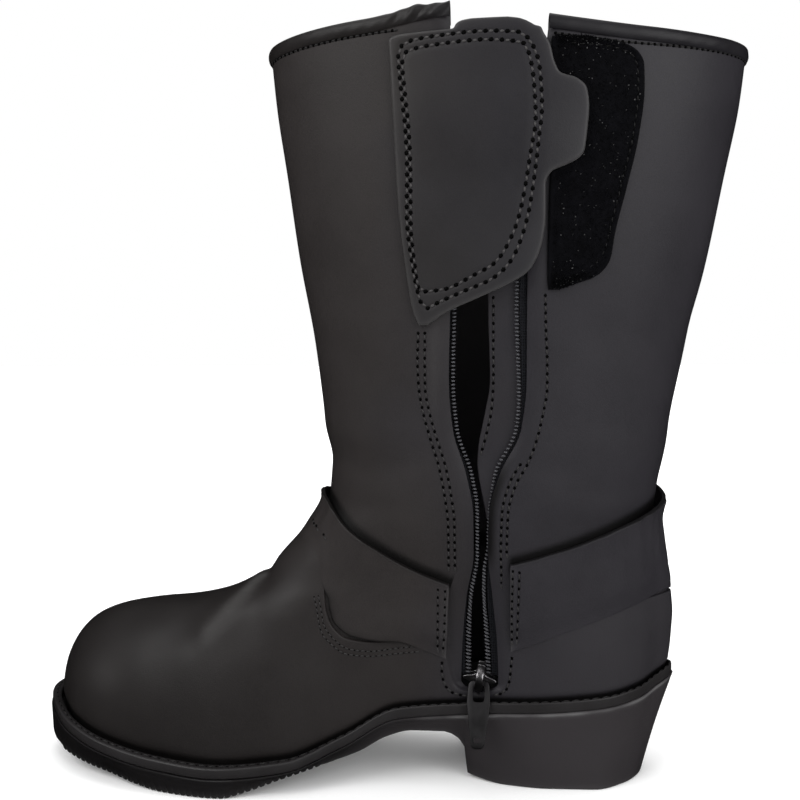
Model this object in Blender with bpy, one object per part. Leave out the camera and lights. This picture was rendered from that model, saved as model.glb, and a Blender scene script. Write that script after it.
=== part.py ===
"""Biker boot for the right foot, standing on its sole: rubber outsole with heel, welt, insole, leather upper,
ankle strap, collar binding, open zip on the inner side and the hook-and-loop flap at its top.

Lengths are in millimetres, measured on the last: x forward from the back of the heel, y towards the inner
side, z up from the floor. make_object turns them into metres.
"""

import math
from collections import namedtuple

import bmesh
import bpy
import numpy as np
from mathutils import Vector

MM = 0.001
HEEL_TO_ORIGIN = 132.9
MIDDLE_TO_ORIGIN = -4.5

# Thicknesses and clearances
GAP = 0.3
WALL = 2.2
VAMP_STEP = 1.4
WELT_THICK = 4.5
WELT_STEP = 0.6
INSOLE_THICK = 3.5
INSOLE_GAP = 0.5
INSOLE_CLEAR = 1.3
WELT_GAP = 0.5
BED_GAP = 1.6
SHARP_ANGLE = math.radians(38)

# Plan of the sole's edge, from the back of the heel to the toe: how far it reaches to the inner and the outer
# side, the height of the welt's upper face there, and the width of the ledge that the welt leaves free
SoleRow = namedtuple("SoleRow", "x inner outer top ledge")
SOLE = [
    SoleRow(-5.4, 0.0, 0.0, 51.0, 2.4),
    SoleRow(3.5, 12.5, 13.0, 48.3, 2.4),
    SoleRow(14.0, 23.5, 24.5, 45.5, 2.6),
    SoleRow(32.0, 33.0, 33.0, 43.5, 2.8),
    SoleRow(58.0, 36.0, 36.5, 42.0, 3.0),
    SoleRow(90.0, 33.0, 38.0, 40.0, 3.2),
    SoleRow(125.0, 31.5, 43.5, 36.5, 3.4),
    SoleRow(150.0, 35.0, 50.0, 24.0, 4.6),
    SoleRow(175.0, 44.0, 55.0, 15.5, 6.4),
    SoleRow(205.0, 48.5, 57.5, 14.0, 7.0),
    SoleRow(235.0, 44.0, 56.5, 16.0, 6.6),
    SoleRow(263.0, 34.5, 52.5, 20.0, 6.2),
    SoleRow(283.5, 21.0, 45.5, 25.0, 5.8),
    SoleRow(296.0, 4.5, 35.0, 29.0, 5.6),
    SoleRow(302.3, -16.0, 16.0, 30.5, 5.6),
]

# Tread face of the heel: plan and height
HeelRow = namedtuple("HeelRow", "x inner outer base")
HEEL = [
    HeelRow(9.4, 0.0, 0.0, 0.0),
    HeelRow(12.6, 12.0, 12.0, 0.0),
    HeelRow(21.2, 22.5, 23.0, 0.0),
    HeelRow(35.6, 30.0, 30.5, 0.0),
    HeelRow(56.0, 30.0, 31.5, 0.0),
    HeelRow(76.0, 26.5, 31.0, 0.0),
    HeelRow(88.0, 21.5, 28.5, 1.2),
    HeelRow(92.5, 19.0, 26.0, 2.0),
]
HEEL_STEPS = 11

# Underside from the heel's breast forward: height, and width as a share of the sole's edge
TreadRow = namedtuple("TreadRow", "x height narrow")
TREAD = [
    TreadRow(94.0, 16.0, 0.70),
    TreadRow(97.0, 21.5, 0.80),
    TreadRow(103.0, 25.0, 0.86),
    TreadRow(118.0, 25.0, 0.86),
    TreadRow(130.0, 22.0, 0.87),
    TreadRow(142.0, 15.8, 0.88),
    TreadRow(157.0, 11.3, 0.90),
    TreadRow(175.0, 7.0, 0.92),
    TreadRow(192.0, 2.2, 0.95),
    TreadRow(203.0, 0.0, 0.97),
    TreadRow(230.0, 0.0, 0.94),
    TreadRow(245.0, 1.2, 0.90),
    TreadRow(261.0, 3.2, 0.85),
    TreadRow(278.5, 6.3, 0.84),
    TreadRow(292.5, 9.8, 0.86),
    TreadRow(302.3, 13.0, 0.80),
]
RIB_FIRST = 160.0
RIB_LAST = 289.0
RIB_PITCH = 3.0
RIB_FACE = 0.6
RIB_DEPTH = 0.9

# Levels of the upper from the sole to the collar: the front line and the back line of the last seen from the
# side, and the half widths that the shaft has there. The first level lies on the outsole.
LevelRow = namedtuple("LevelRow", "front_x front_z back_x back_z inner outer")
LEVELS = [
    LevelRow(294.2, 34.0, -1.8, 53.0, 36.0, 36.0),
    LevelRow(292.6, 45.0, -2.6, 60.0, 36.0, 36.0),
    LevelRow(287.8, 55.6, -3.2, 68.0, 36.5, 36.5),
    LevelRow(278.8, 65.0, -3.6, 75.0, 37.0, 37.0),
    LevelRow(266.0, 71.0, -3.2, 81.0, 37.5, 37.5),
    LevelRow(247.5, 75.2, -2.5, 87.0, 38.0, 38.0),
    LevelRow(225.5, 78.4, -1.5, 92.0, 38.0, 38.5),
    LevelRow(205.5, 83.6, 0.7, 97.5, 38.5, 39.0),
    LevelRow(191.5, 89.5, 2.2, 104.0, 39.0, 39.5),
    LevelRow(180.5, 101.8, 3.8, 113.0, 39.0, 40.0),
    LevelRow(168.0, 116.0, 5.2, 122.0, 39.5, 40.5),
    LevelRow(158.2, 131.0, 3.6, 133.0, 40.0, 41.0),
    LevelRow(157.2, 147.0, 1.0, 148.0, 40.0, 41.0),
    LevelRow(160.0, 167.0, -1.6, 166.0, 40.5, 41.5),
    LevelRow(164.7, 204.5, -9.4, 203.7, 42.5, 43.0),
    LevelRow(171.5, 242.4, -18.1, 240.7, 44.0, 44.5),
    LevelRow(176.8, 280.0, -25.3, 277.3, 44.5, 45.0),
    LevelRow(181.5, 312.0, -31.8, 310.0, 44.0, 44.5),
    LevelRow(184.0, 337.6, -34.6, 333.6, 43.5, 44.0),
]
COLLAR_RISE = 7.0
COLLAR_RISE_FROM = 14.0
COLLAR_RISE_TO = 105.0
TOE_SWING = -16.0
TOE_SWING_START = 190.0
SECTION_SHOULDER = 2.3
SECTION_CROWN = 2.0
SHAFT_ROUND = 0.95
FOOT_TOP = 55.0
SHAFT_FOOT = 145.0
FEATHER_FADE = 8.0
INSTEP_LEVEL = 12
INSTEP_SLOPE = 1.2

# Upper edge of the vamp and counter layer, the same on both sides
VampRow = namedtuple("VampRow", "x z")
VAMP_EDGE = [
    VampRow(-8.0, 86.0),
    VampRow(30.0, 84.5),
    VampRow(70.0, 77.0),
    VampRow(112.0, 69.0),
    VampRow(126.0, 67.3),
    VampRow(137.0, 66.6),
    VampRow(147.5, 68.2),
    VampRow(154.0, 73.7),
    VampRow(156.8, 81.0),
    VampRow(158.0, 92.0),
    VampRow(160.0, 104.0),
    VampRow(166.0, 111.0),
    VampRow(200.0, 112.0),
]

# Edges of the zip's slit: the front one and the rear one at each height, and how far the tapes show past them
ZipRow = namedtuple("ZipRow", "z front rear tape_front tape_rear")
ZIP = [
    ZipRow(40.5, 87.0, 87.0, 1.8, 3.2),
    ZipRow(44.5, 95.9, 78.3, 1.8, 3.2),
    ZipRow(64.0, 95.0, 79.0, 1.2, 3.2),
    ZipRow(88.0, 93.0, 81.3, 0.4, 2.4),
    ZipRow(108.0, 89.9, 83.3, 0.1, 0.1),
    ZipRow(127.0, 90.2, 83.0, 0.3, 0.1),
    ZipRow(145.0, 93.3, 78.5, 0.8, 0.8),
    ZipRow(165.0, 99.3, 69.0, 0.2, 0.6),
    ZipRow(186.0, 101.0, 66.8, 0.2, 1.8),
    ZipRow(222.0, 100.3, 66.8, 0.2, 3.0),
    ZipRow(300.0, 100.0, 62.0, 0.2, 3.0),
    ZipRow(346.0, 100.0, 57.2, 0.2, 3.0),
]
ZIP_MIDDLE = 87.0
CLOSED_ROWS = 1
TAPE_HIDDEN = 7.0
TAPE_THICK = 0.9
TAPE_DEPTH = WALL + 0.8
TEETH_WIDTH = 2.4
TEETH_THICK = 2.2
TEETH_DEPTH = WALL + 0.1
TEETH_HEIGHTS = (
    60, 68, 78, 88, 98, 108, 118, 127, 136, 145, 152, 159, 166, 176, 186, 204, 222, 248, 274, 300, 328,
)

# Strip behind the rear half of the zip: its free edge
FacingRow = namedtuple("FacingRow", "z edge")
FACING = [
    FacingRow(138.0, 86.5),
    FacingRow(150.0, 88.5),
    FacingRow(157.0, 88.0),
    FacingRow(172.0, 85.0),
    FacingRow(186.0, 82.8),
    FacingRow(222.0, 83.8),
    FacingRow(300.0, 79.0),
    FacingRow(326.0, 77.0),
]
FACING_THICK = 1.4
FACING_SEAM = 14.0

# Ankle strap: its two edges at each lap of the boot, how far they stand off the leather, how thick the
# lower one is, and where the lower one is tucked against the vamp's edge (1) or lies free on the vamp (0)
StrapRow = namedtuple("StrapRow", "lap low high low_lift high_lift low_thick tuck")
STRAP = [
    StrapRow(0.07, 64.0, 105.0, 1.9, 1.9, 2.3, 0),
    StrapRow(0.26, 74.5, 111.5, 1.9, 2.2, 2.3, 0),
    StrapRow(0.54, 83.5, 121.0, 1.9, 2.5, 2.3, 0),
    StrapRow(0.80, 89.0, 128.5, 1.9, 2.9, 2.3, 0),
    StrapRow(1.00, 93.0, 131.0, 1.9, 3.1, 2.3, 0),
    StrapRow(1.12, 90.0, 128.5, 2.4, 3.0, 2.3, 0),
    StrapRow(1.25, 81.0, 118.5, 2.6, 2.8, 2.3, 0),
    StrapRow(1.40, 65.0, 104.5, 2.3, 2.4, 2.3, 0),
    StrapRow(1.47, 65.0, 103.0, 2.2, 2.4, 2.0, 1),
    StrapRow(1.54, 68.0, 107.0, 0.6, 2.6, 1.0, 1),
    StrapRow(1.65, 84.0, 117.0, 0.6, 2.8, 1.0, 1),
    StrapRow(1.88, 110.0, 130.5, 0.6, 3.2, 1.0, 1),
    StrapRow(2.00, 112.0, 133.0, 0.6, 3.4, 1.0, 1),
    StrapRow(2.15, 112.0, 131.0, 0.6, 3.2, 1.0, 1),
    StrapRow(2.34, 107.0, 124.5, 0.6, 2.8, 1.0, 1),
    StrapRow(2.54, 92.0, 116.0, 0.6, 2.4, 1.0, 1),
    StrapRow(2.69, 81.0, 109.0, 0.6, 2.2, 1.0, 1),
    StrapRow(2.78, 71.0, 104.2, 0.7, 2.0, 1.2, 1),
    StrapRow(2.84, 67.0, 100.8, 1.9, 1.9, 1.8, 1),
    StrapRow(2.90, 63.5, 97.8, 1.9, 1.9, 2.2, 0),
    StrapRow(2.94, 59.5, 95.5, 1.9, 1.9, 2.3, 0),
]
STRAP_THICK = 2.3
STRAP_ROWS = 4
STRAP_SEAM = 0.8
# Its ends run straight down beside the zip: x at the height of each end's upper and lower corner
EndLine = namedtuple("EndLine", "lap fade top_z top_x low_z low_x")
STRAP_REAR_END = EndLine(0.07, 0.26, 105.0, 73.7, 64.0, 72.9)
STRAP_FRONT_END = EndLine(2.94, 2.69, 95.5, 100.6, 59.5, 102.2)

# Collar binding: a rolled strip over the edge of the wall
BINDING_OUTSIDE = 6.3
BINDING_INSIDE = 7.5
BINDING_THICK = 1.5
BINDING_ROLL = 1.9

# Closure flap and loop patch on the inner side: front edge and rear edge at each height
PanelRow = namedtuple("PanelRow", "z front rear")
FLAP = [
    PanelRow(210.8, 113.2, 109.5),
    PanelRow(213.0, 114.2, 106.5),
    PanelRow(216.5, 115.6, 101.0),
    PanelRow(222.6, 117.0, 87.3),
    PanelRow(229.6, 118.1, 72.5),
    PanelRow(233.5, 118.7, 67.0),
    PanelRow(238.0, 119.3, 64.0),
    PanelRow(247.0, 120.4, 61.0),
    PanelRow(257.0, 121.4, 59.9),
    PanelRow(269.8, 122.4, 60.0),
    PanelRow(275.0, 122.7, 57.5),
    PanelRow(278.0, 122.9, 51.0),
    PanelRow(280.6, 123.1, 46.3),
    PanelRow(283.6, 123.3, 44.0),
    PanelRow(291.0, 123.7, 42.9),
    PanelRow(302.0, 124.3, 42.0),
    PanelRow(309.7, 124.7, 43.1),
    PanelRow(313.8, 124.9, 47.5),
    PanelRow(316.0, 125.0, 54.0),
    PanelRow(321.6, 125.3, 56.8),
    PanelRow(327.5, 125.7, 58.2),
    PanelRow(332.5, 126.0, 61.0),
    PanelRow(334.6, 121.5, 62.0),
    PanelRow(335.1, 112.0, 63.0),
    PanelRow(335.5, 98.6, 64.6),
    PanelRow(337.4, 97.2, 68.0),
    PanelRow(338.6, 95.0, 71.5),
    PanelRow(339.2, 91.0, 76.0),
]
FLAP_SHARES = (0.0, 0.15, 0.35, 0.55, 0.75, 0.9, 1.0)
FLAP_THICK = 2.4
FLAP_LIFT = 0.5
FLAP_RISE = 1.8
PATCH = [
    PanelRow(225.6, 58.0, 54.0),
    PanelRow(228.0, 58.4, 46.7),
    PanelRow(231.8, 58.6, 37.0),
    PanelRow(238.6, 58.6, 31.6),
    PanelRow(250.0, 58.4, 29.6),
    PanelRow(268.3, 58.0, 25.0),
    PanelRow(291.5, 57.0, 19.7),
    PanelRow(310.8, 56.0, 17.5),
    PanelRow(321.6, 55.5, 17.8),
    PanelRow(326.0, 55.0, 22.0),
    PanelRow(328.4, 54.5, 32.0),
]
PATCH_SHARES = (0.0, 0.33, 0.67, 1.0)
PATCH_THICK = 1.3
PATCH_LIFT = 0.35

# Slider at the foot of the zip and its pull
SLIDER_X = 87.0
SLIDER_Z = 50.5
SLIDER_TOP_WIDTH = 14.5
SLIDER_FOOT_WIDTH = 9.0
SLIDER_HEIGHT = 12.5
SLIDER_FACE = -0.3
SLIDER_PLATE = 1.5
SLIDER_DEPTH = 6.6
SLIDER_CORE = 0.28
ARCH_REACH = 6.0
ARCH_RISE = 5.6
ARCH_THICK = 1.6
ARCH_WIDTH = 3.0
PIN_OUT = 1.7
PIN_DOWN = 1.5
PULL_THICK = 1.6
PULL_TILT = math.radians(25)
PULL_WINDOW = (0.8, 8.6, 2.7)
PULL_SLOT = (23.6, 26.0, 1.6)
PullRow = namedtuple("PullRow", "reach half")
PULL = [
    PullRow(-0.8, 3.8),
    PullRow(0.8, 4.7),
    PullRow(7.5, 5.2),
    PullRow(9.5, 5.25),
    PullRow(25.5, 3.2),
    PullRow(27.6, 2.7),
    PullRow(28.5, 1.8),
]

# Steps of the upper's mesh
FRONT_STEPS = (0.08, 0.16, 0.25, 0.34, 0.43, 0.52, 0.59, 0.645, 0.685, 0.73, 0.78, 0.84, 0.92, 1.0)
BACK_STEPS = 8
OUTER_STEPS = 23
VAMP_ROWS = 9
SHAFT_ROWS = 14
EDGE_STEPS = 92
INSOLE_STEPS = 46

LEATHER = (0.024, 0.023, 0.025)
PILE = (0.006, 0.006, 0.008)
GUNMETAL = (0.16, 0.16, 0.17)
STRAP_LEATHER = (0.032, 0.030, 0.031)
RUBBER = (0.020, 0.019, 0.020)
LINING = (0.012, 0.012, 0.013)


def smooth_curve(xs, ys):
    """A smooth curve through a table's rows that never overshoots them."""
    xs = np.asarray(xs, float)
    ys = np.asarray(ys, float)
    step = np.diff(xs)
    slope = np.diff(ys) / step
    before, after = slope[:-1], slope[1:]
    same_way = before * after > 0
    total = np.where(same_way, before + after, 1.0)
    inner = np.where(same_way, 2 * before * after / total, 0.0)
    tangent = np.concatenate([slope[:1], inner, slope[-1:]])

    def at(x):
        x = min(max(x, xs[0]), xs[-1])
        i = min(max(int(np.searchsorted(xs, x, side="right")) - 1, 0), len(step) - 1)
        u = (x - xs[i]) / step[i]
        low = ys[i] * (1 + 2 * u) * (1 - u) ** 2 + tangent[i] * step[i] * u * (1 - u) ** 2
        high = ys[i + 1] * u * u * (3 - 2 * u) + tangent[i + 1] * step[i] * u * u * (u - 1)
        return float(low + high)

    return at


def column(rows, key, name):
    """One column of a table as a smooth curve over another column."""
    return smooth_curve([getattr(row, key) for row in rows], [getattr(row, name) for row in rows])


def smooth_step(value, start, end):
    share = min(max((value - start) / (end - start), 0.0), 1.0)
    return share * share * (3 - 2 * share)


def solve(rising, target, low, high):
    """Where a rising function reaches a target."""
    for _ in range(40):
        middle = (low + high) / 2
        if rising(middle) < target:
            low = middle
        else:
            high = middle
    return (low + high) / 2


# Plan of the sole. Angles run from the toe over the inner side to the heel and back over the outer side.
SOLE_BACK = SOLE[0].x
SOLE_FRONT = SOLE[-1].x


def turn_at(x, back, front):
    share = (2 * x - back - front) / (front - back)
    return math.acos(min(max(share, -1.0), 1.0))


def along(turn, back, front):
    return back + (front - back) * (1 + math.cos(turn)) / 2


def sole_column(name):
    rows = list(reversed(SOLE))
    turns = [turn_at(row.x, SOLE_BACK, SOLE_FRONT) for row in rows]
    return smooth_curve(turns, [getattr(row, name) for row in rows])


inner_reach = sole_column("inner")
outer_reach = sole_column("outer")
ledge_width = sole_column("ledge")
sole_top = column(SOLE, "x", "top")


def outsole_top(x):
    """Height of the face of the outsole that carries welt, upper and insole."""
    return sole_top(x) - WELT_THICK - WELT_GAP


def edge_point(turn):
    turn = turn % math.tau
    x = along(turn, SOLE_BACK, SOLE_FRONT)
    if turn <= math.pi:
        return np.array([x, inner_reach(turn)])
    return np.array([x, -outer_reach(math.tau - turn)])


def edge_inset(turn, distance):
    """Point of the sole's plan, moved in from its edge by a distance."""
    ahead = edge_point(turn + 0.01) - edge_point(turn - 0.01)
    inward = np.array([-ahead[1], ahead[0]]) / np.hypot(*ahead)
    return edge_point(turn) + inward * distance


def ledge_at(turn):
    turn = turn % math.tau
    return ledge_width(min(turn, math.tau - turn))


def feather_half(side):
    """The last's half of the plan at the sole, as tables of turn and reach."""
    turns = np.linspace(0, math.pi, 121)
    if side < 0:
        turns = math.tau - turns
    points = np.array([edge_inset(turn, ledge_at(turn) + VAMP_STEP) for turn in turns])
    back, front = points[-1, 0], points[0, 0]
    own_turns = [turn_at(x, back, front) for x in points[:, 0]]
    return back, front, np.array(own_turns), points[:, 1]


FEATHER_BACK, FEATHER_FRONT, INNER_TURNS, INNER_FEATHER = feather_half(1)
_, _, OUTER_TURNS, OUTER_FEATHER = feather_half(-1)


def feather_reach(x, side):
    turn = turn_at(x, FEATHER_BACK, FEATHER_FRONT)
    if side > 0:
        return float(np.interp(turn, INNER_TURNS, INNER_FEATHER))
    return float(np.interp(turn, OUTER_TURNS, OUTER_FEATHER))


# The skin of the last, which is the outer face of the shaft's leather
def bed(x):
    """Height at which the upper starts, on the outsole."""
    return outsole_top(x) + BED_GAP


SOLE_LEVEL = LevelRow(
    FEATHER_FRONT, bed(FEATHER_FRONT), FEATHER_BACK, bed(FEATHER_BACK), LEVELS[0].inner, LEVELS[0].outer
)
ALL_LEVELS = [SOLE_LEVEL] + LEVELS
TOP_LEVEL = len(ALL_LEVELS) - 1


def level_column(name):
    return smooth_curve(range(len(ALL_LEVELS)), [getattr(row, name) for row in ALL_LEVELS])


front_x = level_column("front_x")
front_z = level_column("front_z")
back_x = level_column("back_x")
back_z = level_column("back_z")
shaft_inner = level_column("inner")
shaft_outer = level_column("outer")

RIDGE_LEVELS = np.linspace(INSTEP_LEVEL, 0, 240)
RIDGE_X = np.array([front_x(level) for level in RIDGE_LEVELS])
RIDGE_Z = np.array([front_z(level) for level in RIDGE_LEVELS])


def ridge(x):
    """Height of the front line over the foot; it goes on up through the shaft behind the instep."""
    if x < RIDGE_X[0]:
        return RIDGE_Z[0] + INSTEP_SLOPE * (RIDGE_X[0] - x)
    return float(np.interp(x, RIDGE_X, RIDGE_Z))


def toe_swing(x):
    return TOE_SWING * smooth_step(x, TOE_SWING_START, FEATHER_FRONT)


def side_view(turn, level):
    """Place of a point of the skin seen from the side."""
    share = (1 + math.cos(turn)) / 2
    x = along(turn, back_x(level), front_x(level))
    z = back_z(level) + (front_z(level) - back_z(level)) * share
    sole_x = along(turn, FEATHER_BACK, FEATHER_FRONT)
    straight = bed(FEATHER_BACK) + (bed(FEATHER_FRONT) - bed(FEATHER_BACK)) * share
    z += (bed(sole_x) - straight) * (1 - smooth_step(level, 0, FEATHER_FADE))
    if math.sin(turn) > 0:
        rise = COLLAR_RISE * smooth_step(x, COLLAR_RISE_FROM, COLLAR_RISE_TO)
        z += rise * math.sin(turn) ** 2 * smooth_step(level, TOP_LEVEL - 3, TOP_LEVEL)
    return x, z


def skin_point(turn, level):
    turn = turn % math.tau
    side = 1 if turn <= math.pi else -1
    x, z = side_view(turn, level)
    share = (1 + math.cos(turn)) / 2
    shifted = x + (FEATHER_BACK - back_x(level)) * (1 - share) ** 2
    centre = toe_swing(x)
    height = (z - bed(x)) / max(ridge(x) - bed(x), 1.0)
    height = min(max(height, 0.0), 1.0)
    section = (1 - height**SECTION_SHOULDER) ** (1 / SECTION_CROWN)
    foot = centre + (feather_reach(shifted, side) - centre) * section
    if abs(math.sin(turn)) < 1e-6:
        foot = centre
    half = shaft_inner(level) if side > 0 else shaft_outer(level)
    shaft = side * half * abs(math.sin(turn)) ** SHAFT_ROUND
    mix = smooth_step(z, FOOT_TOP, SHAFT_FOOT)
    return np.array([x, foot * (1 - mix) + shaft * mix, z])


def skin_frame(turn, level):
    """The skin's point, its outward normal and its direction towards the collar."""
    step = 0.02
    above = min(level + step, TOP_LEVEL)
    below = max(level - step, 0)
    up = skin_point(turn, above) - skin_point(turn, below)
    around = skin_point(turn + step, level) - skin_point(turn - step, level)
    normal = np.cross(around, up)
    return skin_point(turn, level), normal / np.linalg.norm(normal), up / np.linalg.norm(up)


def skin(turn, level, offset):
    point, normal, _ = skin_frame(turn, level)
    return point + normal * offset


# Places on the upper are given by lap and level. The lap runs from 0 at the zip's rear edge to 1 at the back
# line, 2 at the front line and 3 at the zip's front edge.
zip_front = column(ZIP, "z", "front")
zip_rear = column(ZIP, "z", "rear")
vamp_edge = column(VAMP_EDGE, "x", "z")


def inner_turn(x, level):
    return turn_at(x, back_x(level), front_x(level))


def edge_turn(edge, level):
    """Angle at which a level meets an edge of the zip."""
    x = ZIP_MIDDLE
    for _ in range(6):
        _, z = side_view(inner_turn(x, level), level)
        x = edge(z)
    return inner_turn(x, level)


def lap_turn(lap, level, front=None, rear=None):
    rear = edge_turn(zip_rear, level) if rear is None else rear
    front = edge_turn(zip_front, level) if front is None else front
    if lap <= 1:
        return rear + (math.pi - rear) * lap
    if lap <= 2:
        return math.pi * lap
    return math.tau + front * (lap - 2)


def level_at(lap, z):
    """Level at which the skin reaches a height."""
    return solve(lambda level: side_view(lap_turn(lap, level), level)[1], z, 0, TOP_LEVEL)


def inner_place(x, z):
    """Angle and level of the point of the inner side at a place seen from the side."""
    level = solve(lambda level: side_view(inner_turn(x, level), level)[1], z, 0, TOP_LEVEL)
    return inner_turn(x, level), level


def vamp_level(lap):
    """Level of the vamp's upper edge."""

    def over(level):
        x, z = side_view(lap_turn(lap, level), level)
        return z - vamp_edge(x)

    return solve(over, 0, 0, INSTEP_LEVEL)


# Meshes and objects
def make_object(name, points, faces, material, origin=(0, 0, 0)):
    mesh = bpy.data.meshes.new(name)
    mesh.from_pydata([(Vector(point) - Vector(origin)) * MM for point in points], [], faces)
    bm = bmesh.new()
    bm.from_mesh(mesh)
    bmesh.ops.recalc_face_normals(bm, faces=bm.faces)
    if bm.calc_volume(signed=True) < 0:
        bmesh.ops.reverse_faces(bm, faces=bm.faces)
    bm.to_mesh(mesh)
    bm.free()
    mesh.shade_smooth()
    mesh.set_sharp_from_angle(angle=SHARP_ANGLE)
    mesh.materials.append(material)
    obj = bpy.data.objects.new(name, mesh)
    bpy.context.scene.collection.objects.link(obj)
    obj.location = Vector(origin) * MM
    return obj


def sweep(sections, closed=False):
    """Points and faces of a solid through a row of sections, each one a ring of points."""
    size = len(sections[0])
    points = [point for section in sections for point in section]
    faces = []
    last = len(sections) if closed else len(sections) - 1
    for i in range(last):
        here, there = i * size, (i + 1) % len(sections) * size
        for k in range(size):
            n = (k + 1) % size
            faces.append((here + k, here + n, there + n, there + k))
    if not closed:
        faces.append(tuple(range(size)))
        faces.append(tuple(range(len(points) - size, len(points))))
    return points, faces


def make_material(name, colour, roughness, metallic=0.0):
    material = bpy.data.materials.new(name)
    material.use_nodes = True
    shader = material.node_tree.nodes["Principled BSDF"]
    shader.inputs["Base Color"].default_value = (*colour, 1.0)
    shader.inputs["Roughness"].default_value = roughness
    shader.inputs["Metallic"].default_value = metallic
    return material


# Sole
def heel_sections():
    """Sections of the heel from its back to its breast."""
    back, breast = HEEL[0].x, HEEL[-1].x

    def quarter(x):
        return math.acos(1 - (x - back) / (breast - back))

    turns = [quarter(row.x) for row in HEEL]
    inner = smooth_curve(turns, [row.inner for row in HEEL])
    outer = smooth_curve(turns, [row.outer for row in HEEL])
    base = smooth_curve(turns, [row.base for row in HEEL])
    sections = []
    for k in range(HEEL_STEPS + 1):
        turn = max(math.pi / 2 * k / HEEL_STEPS, 0.05)
        x_foot = back + (breast - back) * (1 - math.cos(turn))
        x_top = SOLE_BACK + (breast - SOLE_BACK) * (1 - math.cos(turn))
        sections.append(sole_section(x_top, x_foot, inner(turn), outer(turn), base(turn)))
    return sections


def sole_section(x_top, x_foot, inner, outer, base):
    turn = turn_at(x_top, SOLE_BACK, SOLE_FRONT)
    z = outsole_top(x_top)
    top = [(x_top, inner_reach(turn), z), (x_top, -outer_reach(turn), z)]
    return top + [(x_foot, -outer, base), (x_foot, inner, base)]


def forepart_section(x, groove=0.0):
    turn = turn_at(x, SOLE_BACK, SOLE_FRONT)
    centre = toe_swing(x)
    narrow = tread_narrow(x)
    inner = centre + (inner_reach(turn) - centre) * narrow
    outer = -centre + (outer_reach(turn) + centre) * narrow
    return sole_section(x, x, inner, outer, tread_height(x) + groove)


tread_height = column(TREAD, "x", "height")
tread_narrow = column(TREAD, "x", "narrow")


def make_outsole(material):
    sections = heel_sections()
    waist = [row.x for row in TREAD if row.x < 120]
    waist += list(np.linspace(124, RIB_FIRST - RIB_PITCH / 2, 7))
    sections += [forepart_section(x) for x in waist]
    ribs = int((RIB_LAST - RIB_FIRST) / RIB_PITCH)
    for k in range(ribs):
        x = RIB_FIRST + k * RIB_PITCH
        sections.append(forepart_section(x))
        sections.append(forepart_section(x + RIB_PITCH * RIB_FACE))
        sections.append(forepart_section(x + RIB_PITCH * (1 + RIB_FACE) / 2, RIB_DEPTH))
    for turn in (0.36, 0.28, 0.20, 0.12, 0.05):
        sections.append(forepart_section(along(turn, SOLE_BACK, SOLE_FRONT)))
    return make_object("outsole", *sweep(sections), material)


def edge_turns():
    return [math.tau * k / EDGE_STEPS for k in range(EDGE_STEPS)]


def make_welt(material):
    sections = []
    for turn in edge_turns():
        outside = edge_inset(turn, WELT_STEP)
        inside = edge_inset(turn, ledge_at(turn) - WELT_GAP)
        section = []
        for (x, y), height in ((outside, 0), (outside, WELT_THICK), (inside, WELT_THICK), (inside, 0)):
            section.append((x, y, outsole_top(x) + WELT_GAP + height))
        sections.append(section)
    return make_object("welt", *sweep(sections, closed=True), material)


def make_insole(material):
    sections = []
    inset = VAMP_STEP + WALL + INSOLE_CLEAR
    for k in range(INSOLE_STEPS + 1):
        turn = min(max(math.pi * k / INSOLE_STEPS, 0.04), math.pi - 0.04)
        section = []
        for angle, height in ((turn, 0), (-turn, 0), (-turn, INSOLE_THICK), (turn, INSOLE_THICK)):
            x, y = edge_inset(angle, ledge_at(angle) + inset)
            section.append((x, y, outsole_top(x) + INSOLE_GAP + height))
        sections.append(section)
    return make_object("insole", *sweep(sections), material)


# Upper
def upper_laps():
    laps = [k / BACK_STEPS for k in range(BACK_STEPS)]
    laps += [1 + k / OUTER_STEPS for k in range(OUTER_STEPS + 1)]
    return laps + [2 + share for share in FRONT_STEPS]


def upper_grids():
    """Outer and inner faces of the upper as rows of points, sole to collar. The outer face has one row more,
    because the vamp's edge is a step in it."""
    laps = upper_laps()
    vamp = [vamp_level(lap) for lap in laps]
    outer, inner = [], []
    for row in range(VAMP_ROWS + SHAFT_ROWS + 1):
        outside, inside, step = [], [], []
        for lap, edge in zip(laps, vamp):
            if row <= VAMP_ROWS:
                level = edge * row / VAMP_ROWS
            else:
                level = edge + (TOP_LEVEL - edge) * (row - VAMP_ROWS) / SHAFT_ROWS
            middle = inner_turn(ZIP_MIDDLE, level) if row <= CLOSED_ROWS else None
            turn = lap_turn(lap, level, middle, middle)
            point, normal, _ = skin_frame(turn, level)
            outside.append(point + normal * (VAMP_STEP if row <= VAMP_ROWS else 0))
            step.append(point)
            inside.append(point - normal * WALL)
        if row == 0:
            for point in outside + inside:
                point[2] = bed(point[0])
        outer.append(outside)
        inner.append(inside)
        if row == VAMP_ROWS:
            outer.append(step)
    return outer, inner


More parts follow.
